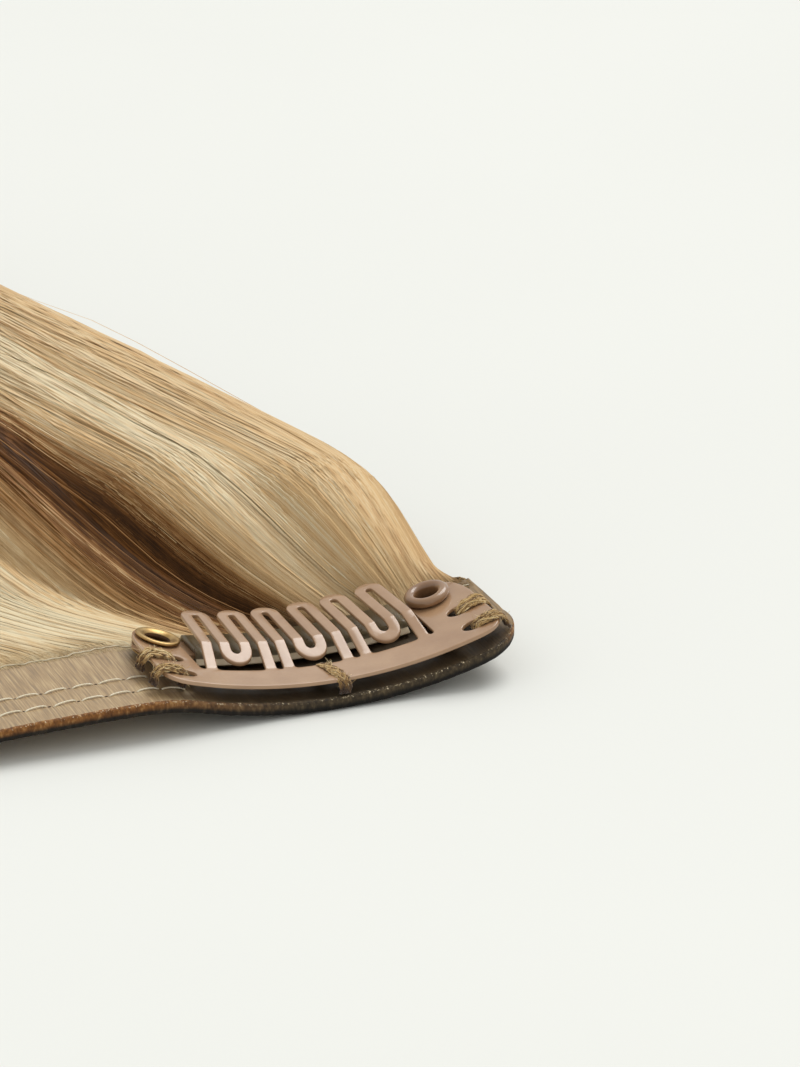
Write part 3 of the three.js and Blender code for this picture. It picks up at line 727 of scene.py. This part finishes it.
def grow_strands():
    """The strands' paths, gathered in clumps that share their waves, with what their looks need."""
    total = STRANDS.count
    clump_root = spread_roots(CLUMPS.count)
    clump_tone = RANDOM.normal(0, CLUMPS.tone, CLUMPS.count)
    clump_depth = RANDOM.uniform(*CLUMPS.depth, CLUMPS.count)
    clump_wave = RANDOM.uniform(0, TURN, (len(WANDER), CLUMPS.count, 1))
    clump = RANDOM.integers(0, CLUMPS.count, total)
    scatter = RANDOM.normal(0, CLUMPS.spread, total)
    root = np.clip(clump_root[clump] + scatter, *HAIR_EDGES)
    end = np.maximum(hair_end(root) - RANDOM.exponential(STRANDS.uneven, total), STRANDS.shortest)
    along = np.minimum(STRAND_STATIONS, column(end) * STRAND_STATIONS / STRAND_STATIONS[-1])
    along[:, -1] = end
    over_band = STRANDS.over_band * column(RANDOM.uniform(*STRANDS.overlaps, total))
    back = along - over_band * (1 - smoothstep(*STRANDS.overlap_over, along))
    grown = np.clip(back, 0, None)
    drawn_in = CLUMPS.gather * smoothstep(*CLUMPS.gather_over, grown)
    drawn_in = drawn_in * column(RANDOM.uniform(*CLUMPS.gathers, total))
    roots = column(clump_root[clump]) + column(scatter) * (1 - drawn_in)
    x = hair_path(np.clip(roots, *HAIR_EDGES), back)
    free = smoothstep(*STRANDS.free_over, grown)
    x = x + free * sum(
        high * np.sin(grown / length + phase[clump]) for (high, length), phase in zip(WANDER, clump_wave))
    waver = np.sin(grown / STRANDS.waver_length + column(RANDOM.uniform(0, TURN, total)))
    x = x + free * STRANDS.waver * waver
    depth = column(RANDOM.exponential(STRANDS.depth, total)) + free * column(clump_depth[clump])
    depth = depth * rising(STRANDS.flat, *STRANDS.flat_over, grown)
    relief, slope = hair_relief(roots, grown)
    z = np.maximum(hair_top(x, grown) + relief - depth, STRANDS.lowest)
    z = np.where(back < 0, band_lift(x) + BAND.thick + STRANDS.on_film, z)
    chosen = RANDOM.uniform(0, 1, total) < LOOSE.share
    lift = np.where(chosen, np.minimum(RANDOM.exponential(LOOSE.lift, total), LOOSE.most), 0)
    middle = column(RANDOM.uniform(*LOOSE.between, total))
    length = column(RANDOM.uniform(*LOOSE.length, total))
    stray = column(lift) * np.exp(-((grown - middle) / length) ** 2)
    x = x + stray * column(RANDOM.normal(0, LOOSE.aside, total))
    path = stacked(x, BAND.depth + GAP + back, z + stray)
    return Sizes(root=root, back=back, grown=grown, path=path, slope=slope, tone=clump_tone[clump])


def strand_tones(strands, facing):
    """Tone of each strand along its length: by its place on the band, mingled and varied."""
    root, grown, total = strands.root, strands.grown, STRANDS.count
    lowlight = np.where(RANDOM.uniform(0, 1, total) < TINT.low_share, TINT.low, 0.0)
    streak = TINT.streak * waves(root, TINT.streaks)
    varied = column(strands.tone + streak + RANDOM.normal(0, TINT.own, total) + lowlight)
    mingled = MINGLE.near + MINGLE.left * column(smoothstep(*MINGLE.left_over, root))
    mingled = mingled + MINGLE.far * smoothstep(*MINGLE.far_over, grown)
    plain = hair_tone(column(root) + mingled * column(RANDOM.normal(0, 1, total)))
    highlight = column(np.where(RANDOM.uniform(0, 1, total) < TINT.high_share, TINT.high, 0.0))
    in_brown = smoothstep(*TINT.brown, plain)
    calmed = varied * (1 - TINT.calm * smoothstep(*TINT.calm_over, grown))
    varied = calmed + (varied + highlight) * in_brown
    # Painted shade: strands on slopes turned away from the key light are darker
    shaded = np.clip(TINT.lit - unit(facing) @ LIGHT.way, 0, 1) * plain
    at_root = 1 - smoothstep(*TINT.root_over, strands.back)
    return np.clip(plain - TINT.slope * shaded + varied - TINT.root * at_root * plain, TINT.least, 1)


def build_strands():
    """Fine ribbons over the body of hair, in a few pieces across the band."""
    strands = grow_strands()
    path, back, grown = strands.path, strands.back, strands.grown
    taper = 1 - TAPER.tip * smoothstep(*TAPER.tip_over, grown / grown[:, -1:])
    taper = taper * rising(TAPER.root, *TAPER.root_over, back - back[:, :1])
    width = STRANDS.width * column(RANDOM.uniform(*STRANDS.widths, STRANDS.count)) * taper
    turn = RANDOM.normal(0, STRANDS.turn, STRANDS.count)
    glint = np.tan(np.clip(RANDOM.normal(0, STRANDS.glint, STRANDS.count), -1, 1))[:, None, None]
    facing = hair_normal(path[..., 0], grown) - stacked(strands.slope, 0, 0)
    uv = stacked(strand_tones(strands, facing), (back + VEIL.before) / VEIL.length)
    order = np.argsort(strands.root)
    for number, rows in enumerate(np.array_split(order, STRANDS.pieces), 1):
        points, faces, level = strand_ribbons(path[rows], width[rows], turn[rows])
        normals = unit(facing[rows] + level * glint[rows])
        uv_pairs, normal_pairs = (
            np.repeat(values.reshape(-1, values.shape[-1]), 2, 0) for values in (uv[rows], normals))
        add_piece(f"hair_strands_{number}", points, faces.tolist(), [STRAND], "hair", uv=uv_pairs,
                  closed=False, normals=normal_pairs)


def build_film_edge(columns=420, rows=5, inset=0.9, wide=0.18, lift=0.06, crown=0.05, thick=0.03, end=0.4):
    """The film's ragged clear edge, a thin line over the roots of the hair."""
    x = np.linspace(-BAND.width / 2 + end, BAND.width / 2 - end, columns)
    ragged = 0.2 * waves(x, (0.9, 1.7, 2.9)) + 0.4 * waves(x, (9.0, 21.0))
    share = np.linspace(0, 1, rows)[:, None]
    y = BAND.depth - inset + ragged + share * wide
    z = band_lift(x) + BAND.thick + lift + crown * np.sin(math.pi * share)
    upper = stacked(x, y, z)
    grid = np.concatenate([upper, (upper - [0, 0, thick])[::-1]]).transpose(1, 0, 2)
    faces = capped_faces(1, columns, 2 * rows)
    add_piece("film_edge", grid, faces, [FILM_EDGE], "weft_film")


# The clips

def rolled(points, centre):
    """Points drawn on a flat clip, rolled about the axis above it and set on the band."""
    x, y, z = np.moveaxis(np.asarray(points, float), -1, 0)
    radius = CLIP.camber - z
    turn = x / CLIP.camber
    clip = stacked(radius * np.sin(turn), y, CLIP.camber - radius * np.cos(turn))
    return clip + [centre, CLIP.front, CLIP.stack]


def line_distance(x, y, path):
    """Distance of points from a line through others."""
    best = np.full(x.shape, np.inf)
    for (ax, ay), (bx, by) in zip(path[:-1], path[1:]):
        dx, dy = bx - ax, by - ay
        share = np.clip(((x - ax) * dx + (y - ay) * dy) / (dx * dx + dy * dy), 0, 1)
        best = np.minimum(best, (x - ax - share * dx) ** 2 + (y - ay - share * dy) ** 2)
    return np.sqrt(best)


def within(x, y, loop):
    odd = np.zeros(x.shape, bool)
    for (ax, ay), (bx, by) in zip(loop, np.roll(loop, -1, 0)):
        if ay != by:
            crosses = (ay > y) != (by > y)
            odd ^= crosses & (x < ax + (bx - ax) * (y - ay) / (by - ay))
    return odd


def loop_distance(x, y, loop):
    """Distance from a closed outline, negative inside it."""
    edge = line_distance(x, y, np.vstack([loop, loop[:1]]))
    return np.where(within(x, y, loop), -edge, edge)


def curve(start, control, end, count=14):
    share = np.linspace(0, 1, count)[:, None]
    start, control, end = (np.array(point) for point in (start, control, end))
    return (1 - share) ** 2 * start + 2 * share * (1 - share) * control + share ** 2 * end


def oval(x, y, radius_x, radius_y, start=0.0, stop=TURN, count=40):
    turn = np.linspace(start, stop, count, endpoint=stop - start < TURN)
    return stacked(x + radius_x * np.cos(turn), y + radius_y * np.sin(turn))


def half_outline(reach):
    """The plate's outline on one side, from the middle of its front edge to the middle of its bar."""
    top, inner, bar, fillet = EYELET.y + PAD.round, PAD.inner, PLATE.bar, PLATE.fillet
    return np.vstack([
        [(0, 0)],
        curve((reach - PLATE.corner, 0), (reach, 0), (reach, PLATE.corner)),
        curve((reach, EYELET.y - PAD.round), (reach, top), (EYELET.x, top)),
        oval(EYELET.x, EYELET.y, EYELET.x - inner, PAD.round, math.pi / 2, math.pi, 14)[1:],
        curve((inner, bar + fillet), (inner, bar), (inner - fillet, bar)),
        [(0, bar)],
    ])


def serpentine(first):
    """Centre line of one M of the comb: up a leg, round a loop, down to a bend, and up again."""
    legs = first + np.cumsum([0, COMB.loop, COMB.bend, COMB.loop])
    turn_y = TOOTH.tip - (COMB.loop + COMB.leg) / 2
    bend_y = TOOTH.bend + (COMB.bend + COMB.leg) / 2
    middle, radius = (legs[:-1] + legs[1:]) / 2, np.diff(legs) / 2
    arcs = [oval(x, y, r, way * r, math.pi, 0, 16)
            for x, r, y, way in zip(middle, radius, (turn_y, bend_y, turn_y), (1, -1, 1))]
    first_leg = [(legs[0], COMB.joined), (legs[0], TOOTH.root)]
    last_leg = [(legs[-1], TOOTH.root), (legs[-1], COMB.joined)]
    path = np.vstack([first_leg, *arcs, last_leg])
    draw_in = 1 - COMB.fan * np.maximum(0, (path[:, 1] - TOOTH.root) / (TOOTH.tip - TOOTH.root))
    return path * stacked(draw_in, 1)


GROUP = 2 * COMB.loop + COMB.bend
SPAN = COMB.groups * GROUP + (COMB.groups - 1) * COMB.next
BODY_LOOP = np.vstack([half_outline(PAD.right), half_outline(PAD.left)[-2:0:-1] * (-1, 1)])
SNAKES = [serpentine(-SPAN / 2 + g * (GROUP + COMB.next)) for g in range(COMB.groups)]
PLATE_HOLES = [
    oval(way * x, y, radius_x, radius_y)
    for way, reach in ((-1, PAD.left), (1, PAD.right))
    for x, y, radius_x, radius_y in (
        (EYELET.x, EYELET.y, EYELET.barrel + GAP, EYELET.barrel + GAP),
        *((reach - HOLES.inset, row, HOLES.half_length, HOLES.half_width) for row in HOLES.rows),
    )
]


def plate_distance(x, y):
    """Distance from the comb plate's outline, with the legs filleted to the bar, negative inside."""
    body = loop_distance(x, y, BODY_LOOP)
    legs = np.min([line_distance(x, y, snake) for snake in SNAKES], axis=0) - COMB.leg / 2
    close = np.maximum(PLATE.fillet - np.abs(body - legs), 0) / PLATE.fillet
    plate = np.minimum(body, legs) - close ** 2 * PLATE.fillet / 4
    for hole in PLATE_HOLES:
        plate = np.maximum(plate, -loop_distance(x, y, hole))
    return plate


def contours(field, xs, ys, level):
    """Closed loops of points where a field on a grid crosses a level."""
    index = np.arange(field.size).reshape(field.shape)
    a, b, c, d = index[:-1, :-1], index[:-1, 1:], index[1:, 1:], index[1:, :-1]
    cells = np.concatenate([np.stack(corners, -1).reshape(-1, 3) for corners in ((a, b, c), (a, c, d))])
    grid = stacked(np.tile(xs, len(ys)), np.repeat(ys, len(xs)))
    values = field.ravel()
    inside = values < level
    count = inside[cells].sum(1)
    after = {}
    for cell in cells[(count > 0) & (count < 3)].tolist():
        edges = list(zip(cell, cell[1:] + cell[:1]))
        leave = next((p, q) for p, q in edges if inside[p] and not inside[q])
        enter = next((q, p) for p, q in edges if inside[q] and not inside[p])
        after[leave] = enter
    loops = []
    while after:
        key, following = after.popitem()
        keys = [key]
        while following != key:
            keys.append(following)
            following = after.pop(following)
        inner, outer = np.array(keys).T
        share = ((level - values[inner]) / (values[outer] - values[inner]))[:, None]
        loops.append(grid[inner] + share * (grid[outer] - grid[inner]))
    return loops


def evened(loop, spacing, fewest=12):
    """A closed loop with its points at even distances."""
    closed = np.vstack([loop, loop[:1]])
    along = run_lengths(closed)
    at = np.linspace(0, along[-1], max(fewest, round(along[-1] / spacing)), endpoint=False)
    return np.column_stack([np.interp(at, along, values) for values in closed.T])


def tooth_top(y):
    """Height of a tooth's upper face, with its two creases a little rounded."""
    stops = [TOOTH.root, TOOTH.knee, TOOTH.tip]
    return np.mean([np.interp(y + d, stops, [0, TOOTH.knee_lift, TOOTH.tip_lift])
                    for d in (-TOOTH.crease, 0, TOOTH.crease)], axis=0)


def outward_of(rim, step=0.02):
    """The way out of the plate at points of its rim."""
    x, y = rim.T
    return unit(stacked(
        plate_distance(x + step, y) - plate_distance(x - step, y),
        plate_distance(x, y + step) - plate_distance(x, y - step),
    ))


def plate_sheet(grid_step=0.06, point_step=0.17, inner_step=0.45, margin=0.6, ease=0.15):
    """The comb plate as a sheet with rounded edges, drawn flat: points, faces and no kinds."""
    edge, thick = PLATE.edge, PLATE.sheet
    xs = np.arange(-PAD.left - margin, PAD.right + margin, grid_step)
    ys = np.arange(-margin, TOOTH.tip + margin, grid_step)
    field = plate_distance(*np.meshgrid(xs, ys))
    loops = [evened(loop, point_step) for loop in contours(field, xs, ys, -edge)]
    rim = np.vstack(loops)
    outward = outward_of(rim)
    rows = np.concatenate([np.arange(0.2, TOOTH.tip, inner_step), [TOOTH.root, TOOTH.knee]])
    across, deep = np.meshgrid(np.arange(-PAD.left, PAD.right, inner_step), np.sort(rows))
    inner = plate_distance(across, deep) < -edge - 0.5 * point_step
    flat = np.vstack([rim, stacked(across[inner], deep[inner])])
    starts = np.cumsum([0] + [len(loop) for loop in loops[:-1]])
    rim_edges = [(s + i, s + (i + 1) % len(loop)) for s, loop in zip(starts, loops) for i in range(len(loop))]
    triangles = np.array(delaunay_2d_cdt([Vector(p) for p in flat.tolist()], rim_edges, [], 0, 1e-6)[2])
    middle = flat[triangles].mean(1)
    odd = np.zeros(len(middle), bool)
    for loop in loops:
        odd ^= within(middle[:, 0], middle[:, 1], loop)
    triangles = triangles[odd]
    turns = np.linspace(0, math.pi / 2, 4)
    rings = [(edge * math.sin(t), -edge * (1 - math.cos(t))) for t in turns]
    rings += [(out, -thick - z) for out, z in rings[::-1]]
    count = len(rim)
    layers = [np.column_stack([rim + outward * out, np.full(count, z)]) for out, z in rings]
    inside_points = flat[count:]
    upper = np.column_stack([inside_points, np.zeros(len(inside_points))])
    points = np.vstack(layers + [upper, upper - [0, 0, thick]])
    extra = count * (len(rings) - 1)
    top = np.where(triangles < count, triangles, triangles + extra)
    low = np.where(triangles < count, triangles + extra, triangles + extra + len(inside_points))
    walls = [(base + a, base + b, base + count + b, base + count + a)
             for base in range(0, extra, count) for a, b in rim_edges]
    beside = np.abs(points[:, 0]) - (SPAN / 2 + COMB.leg / 2 + PAD.inner) / 2
    points[:, 2] += tooth_top(points[:, 1]) * (1 - smoothstep(-ease, ease, beside))
    return points, top.tolist() + low[:, ::-1].tolist() + walls, None


def sleeve_tube(stations=61, sides=48, ledge=(24, 25, 26), ledge_points=slice(25, 31)):
    """The silicone sleeve: a flat tube round the bow, open at both ends, drawn flat. Its ledge is painted
    paler as a highlight.
    """
    bow_top = -PLATE.thick - GAP
    low, high = bow_top - BOW.thick - GAP, bow_top + GAP
    turn = np.linspace(0, TURN, sides, endpoint=False)

    def stretched(wave, half, corner):
        return np.sign(wave) * (half - corner) * (np.abs(wave) > 1e-9) + corner * wave

    def loop(half_width, low, high, corner):
        y = stretched(np.cos(turn), half_width, corner)
        z = stretched(np.sin(turn), (high - low) / 2, corner)
        return stacked(EYELET.y + y, (low + high) / 2 + z)

    outer = loop(BOW.half_width + GAP + SLEEVE.wall, low - SLEEVE.wall, high + SLEEVE.wall, SLEEVE.round)
    outer[ledge_points, 0] -= SLEEVE.ledge
    bore = loop(BOW.half_width + GAP, low, high, SLEEVE.bore_round)
    along = np.linspace(-SLEEVE.half, SLEEVE.half, stations)
    rings = [(x, outer) for x in along] + [(x, bore) for x in along[::-1]]
    points = np.vstack([np.column_stack([np.full(sides, x), ring]) for x, ring in rings])
    points[:, 2] += BOW.rise * np.maximum(0, 1 - (points[:, 0] / EYELET.x) ** 2)
    kinds = np.zeros((len(rings), sides), int)
    kinds[:stations - 1, ledge] = 1
    return points, torus_faces(len(rings), sides), kinds.ravel()


def painted_lip():
    """A fat rolled rim: radius and height of its points, from under its outside to the bore."""
    middle, spread = (EYELET.bore + RIM.painted) / 2, (RIM.painted - EYELET.bore) / 2
    turn = np.radians(np.linspace(-50, 180, 26))
    rise = RIM.painted_rise * (RIM.painted_waist + (1 - RIM.painted_waist) * np.sin(turn))
    return stacked(middle + spread * np.cos(turn), GAP + np.maximum(0, rise))


def brass_lip():
    """A dished rim: a thin crest at the outside and a shallow funnel into the bore."""
    crest = [(RIM.brass - inset, z) for inset, z in ((0.2, 0), (0.12, 0.05), (0.12, 0.16), (0.22, 0.25))]
    dish = [(1.5, 0.26), (1.26, 0.2), (1.06, 0.06), (0.92, -0.14), (0.9, -0.35), (EYELET.bore, -0.45),
            (EYELET.bore, -PLATE.thick - GAP)]
    return eased(crest + dish, 48, 3) + [0, GAP]


def eyelet_lathe(lip, way, marked):
    """A rolled rivet turned about its axis, drawn flat at its end of the clip. Kind 1 can mark its bore."""
    seat = -PLATE.thick - GAP - BOW.thick - GAP
    under = seat - EYELET.foot_thick
    shank = [(EYELET.bore, under), (EYELET.foot, under), (EYELET.foot, seat), (EYELET.barrel, seat),
             (EYELET.barrel, GAP)]
    profile = np.vstack([shank, lip])
    turn = around(EYELET.sides)
    radius, z = profile[:, :1], profile[:, 1:]
    points = stacked(way * EYELET.x + radius * np.cos(turn), EYELET.y + radius * np.sin(turn), z)
    bore = (profile[:, 0] < EYELET.bore + 0.1) & (profile[:, 1] < 2 * GAP)
    kinds = np.repeat(bore.astype(int), EYELET.sides)
    return points, torus_faces(len(profile), EYELET.sides), kinds if marked else None


FIBRES = Sizes(count=48, steps=28, sides=4, radius=0.047, radii=(0.7, 1.4), curl=0.13, curls=(2, 7),
               twist=1.2, slant=0.3, hidden=0.3)
# A dark core in each bundle, painted as the shade between its fibres
CORE = Sizes(share=0.7, sides=10, tone=0.1)
FUZZ = Sizes(count=60, steps=5, sides=3, share=0.4, start=0.8, length=(0.15, 0.6), drift=0.5)

# Half width of a lashing at the plate's edge and at its hole, its half height, and how far its foot slides
LASH_FORMS = {
    "left_front": Sizes(edge=0.55, hole=0.45, high=0.24, slide=-0.5),
    "left_back": Sizes(edge=0.66, hole=0.45, high=0.25, slide=-0.5),
    "right_front": Sizes(edge=0.85, hole=0.6, high=0.15, slide=-0.2),
    "right_back": Sizes(edge=0.85, hole=0.6, high=0.15, slide=0.2),
    "middle": Sizes(edge=0.42, hole=0.42, high=0.12, slide=0.0),
}


def lash_route(start, flat_start, flat_end, end, form):
    """A thread's way up from the band, over the plate and down again: places along it and heights."""
    floor, ease, over = -CLIP.stack + BAND.thick + GAP, LASH.ease, form.high + LASH.clear
    return [(start, floor), (start, -ease), (start - ease, over - ease), (flat_start, over),
            (flat_end, over), (end + ease, over - ease), (end, -ease), (end, floor)]


def lash_routes():
    """The thread's route for each lashing of a clip: its name, points, the way across it and its form."""
    for end, way, reach in (("left", -1, PAD.left), ("right", 1, PAD.right)):
        hole = reach - HOLES.inset
        for place, row in zip(("front", "back"), HOLES.rows):
            form = LASH_FORMS[f"{end}_{place}"]
            route = lash_route(reach + GAP + form.high, reach - LASH.ease, hole + LASH.flat, hole, form)
            slide = form.slide * np.linspace(1, 0, len(route))
            points = [(way * x, row + aside, z) for (x, z), aside in zip(route, slide)]
            yield f"{end}_{place}", points, np.array([0.0, 1.0, 0.0]), form
    form = LASH_FORMS["middle"]
    beside = GAP + form.high
    route = lash_route(PLATE.bar + beside, PLATE.bar - LASH.flat, LASH.flat, -beside, form)
    slanted = [(LASH.mid_x + FIBRES.slant * (1 - 2 * y / PLATE.bar), y, z) for y, z in route]
    yield "middle", slanted, np.array([1.0, 0.0, 0.0]), form


def lash_fibres(route, across, form):
    """A flat bundle of curly fibres along a route, with loose ends off it: points, faces and tones."""
    count, steps = FIBRES.count, FIBRES.steps
    spine = eased(route, steps, 3)
    out = unit(np.cross(unit(np.gradient(spine, axis=0)), across))
    out = out * np.sign(out[steps // 2, 2])
    share = np.linspace(0, 1, steps)
    wide = form.edge + (form.hole - form.edge) * smoothstep(0.3, 0.75, share)
    reach = column(np.sqrt(RANDOM.uniform(0.02, 1, count)))
    angle = column(RANDOM.uniform(0, TURN, count)) + column(RANDOM.normal(0, FIBRES.twist, count)) * share
    wave, phase = RANDOM.uniform(*FIBRES.curls, (2, count, 1)), RANDOM.uniform(0, TURN, (2, count, 1))
    curl = FIBRES.curl * np.sin(TURN * wave * share + phase)
    aside = wide * reach * np.cos(angle) + curl[0]
    away = form.high * (reach * np.sin(angle) + curl[1])
    paths = spine + away[..., None] * out + aside[..., None] * across
    thick = FIBRES.radius * column(RANDOM.uniform(*FIBRES.radii, count))
    parts = [tubes(paths, thick, FIBRES.sides, across + 0.05),
             tubes(spine[None], form.high * CORE.share, CORE.sides, across)]
    # Painted shade: each fibre darkens towards its feet at the band
    light = smoothstep(0, FIBRES.hidden, share) * (1 - smoothstep(1 - FIBRES.hidden, 1, share))
    tones = [np.repeat((column(RANDOM.uniform(0.1, 1, count)) * light).ravel(), FIBRES.sides),
             np.full(steps * CORE.sides, CORE.tone)]
    start = RANDOM.integers(3, steps - 3, FUZZ.count)
    turn = column(RANDOM.uniform(0, TURN, FUZZ.count))
    lean = form.high * np.abs(np.cos(turn)) * out[start] + column(wide[start]) * np.sin(turn) * across
    drift = RANDOM.normal(0, FUZZ.drift, (FUZZ.count, 3))
    length = RANDOM.uniform(*FUZZ.length, FUZZ.count)[:, None, None]
    grown = column(np.linspace(0, 1, FUZZ.steps))
    fuzz = (spine[start] + FUZZ.start * lean)[:, None]
    fuzz = fuzz + length * (lean[:, None] * grown + drift[:, None] * grown ** 2)
    parts.append(tubes(fuzz, FIBRES.radius * FUZZ.share, FUZZ.sides, unit(across + 0.3)))
    tones.append(np.repeat(RANDOM.uniform(0.5, 1, FUZZ.count), FUZZ.steps * FUZZ.sides))
    return *joined(parts), np.concatenate(tones)


# A clip's hard pieces: name, the solid it replaces, shape, materials and slot
CLIP_PIECES = (
    ("comb_plate_sheet", "comb_plate", plate_sheet(), [ENAMEL], "enamel"),
    ("grip_tube", "grip_sleeve", sleeve_tube(), [SILICONE, SILICONE_LEDGE_HIGHLIGHT], "silicone"),
    ("rivet_brass", "eyelet_brass", eyelet_lathe(brass_lip(), -1, True), [BRASS, BORE_SHADE], "brass"),
    ("rivet_painted", "eyelet_painted", eyelet_lathe(painted_lip(), 1, False), [RIVET_PAINT], "enamel"),
)


def build_clip(side, centre):
    for name, solid, (points, faces, kinds), materials, slot in CLIP_PIECES:
        add_piece(f"{name}_{side}", rolled(points, centre), faces, materials, slot,
                  replaces=[f"{solid}_{side}"], kinds=kinds)
    for name, route, across, form in lash_routes():
        points, faces, tones = lash_fibres(route, across, form)
        add_piece(f"thread_{name}_{side}", rolled(points, centre), faces, [THREAD], "thread",
                  replaces=[f"lashing_{name}_{side}"], uv=stacked(tones, 0))


def dress_bows():
    """The spring bows keep their shape and get the clip's paint."""
    for side in ("clip_left", "clip_right"):
        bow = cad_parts[f"spring_bow_{side}"]
        bow.data.materials.clear()
        bow.data.materials.append(ENAMEL)


build_band()
build_stitches()
build_hair_body()
build_strands()
build_film_edge()
build_clip("clip_left", -CLIP.centre)
build_clip("clip_right", CLIP.centre)
dress_bows()


# View, floor and light

def add_camera():
    turn, tilt = math.radians(VIEW.azimuth), math.radians(VIEW.elevation)
    right = np.array([math.cos(turn), -math.sin(turn), 0.0])
    ahead = np.array([math.sin(turn) * math.cos(tilt), math.cos(turn) * math.cos(tilt), -math.sin(tilt)])
    up = np.cross(right, ahead)
    distance = VIEW.focal_px / VIEW.px_per_mm
    aside = (TARGET.picture_x - PICTURE.width / 2) / VIEW.px_per_mm
    above = (PICTURE.height / 2 - TARGET.picture_y) / VIEW.px_per_mm
    target = ORIGIN + [CLIP.centre, CLIP.front, CLIP.stack] + TARGET.on_clip
    place = (target - ahead * distance - right * aside - up * above) * MM
    data = bpy.data.cameras.new("camera")
    data.sensor_width = PICTURE.sensor
    data.lens = VIEW.focal_px * PICTURE.sensor / PICTURE.height
    data.clip_start = 0.01
    camera = bpy.data.objects.new("camera", data)
    facing = Matrix(np.column_stack([right, up, -ahead]).tolist())
    camera.matrix_world = Matrix.Translation(place.tolist()) @ facing.to_4x4()
    bpy.context.scene.collection.objects.link(camera)
    bpy.context.scene.camera = camera


def add_light():
    light = bpy.data.lights.new("key", "SUN")
    light.energy = LIGHT.power
    light.angle = math.radians(LIGHT.wide)
    key = bpy.data.objects.new("key", light)
    key.rotation_mode = "QUATERNION"
    key.rotation_quaternion = Vector(LIGHT.way).to_track_quat("Z", "Y")
    bpy.context.scene.collection.objects.link(key)
    world = bpy.data.worlds.new("studio")
    world.use_nodes = True
    sky = world.node_tree.nodes["Background"]
    sky.inputs["Color"].default_value = (1, 1, 0.98, 1)
    sky.inputs["Strength"].default_value = LIGHT.fill
    bpy.context.scene.world = world
    bpy.context.scene.view_settings.view_transform = "Standard"


def add_floor(half=2.0, below=5e-5):
    mesh = bpy.data.meshes.new("floor")
    corners = [(-half, -half, -below), (half, -half, -below), (half, half, -below), (-half, half, -below)]
    mesh.from_pydata(corners, [], [(0, 1, 2, 3)])
    mesh.materials.append(FLOOR)
    floor = bpy.data.objects.new("floor", mesh)
    bpy.context.scene.collection.objects.link(floor)


add_camera()
add_light()
add_floor()
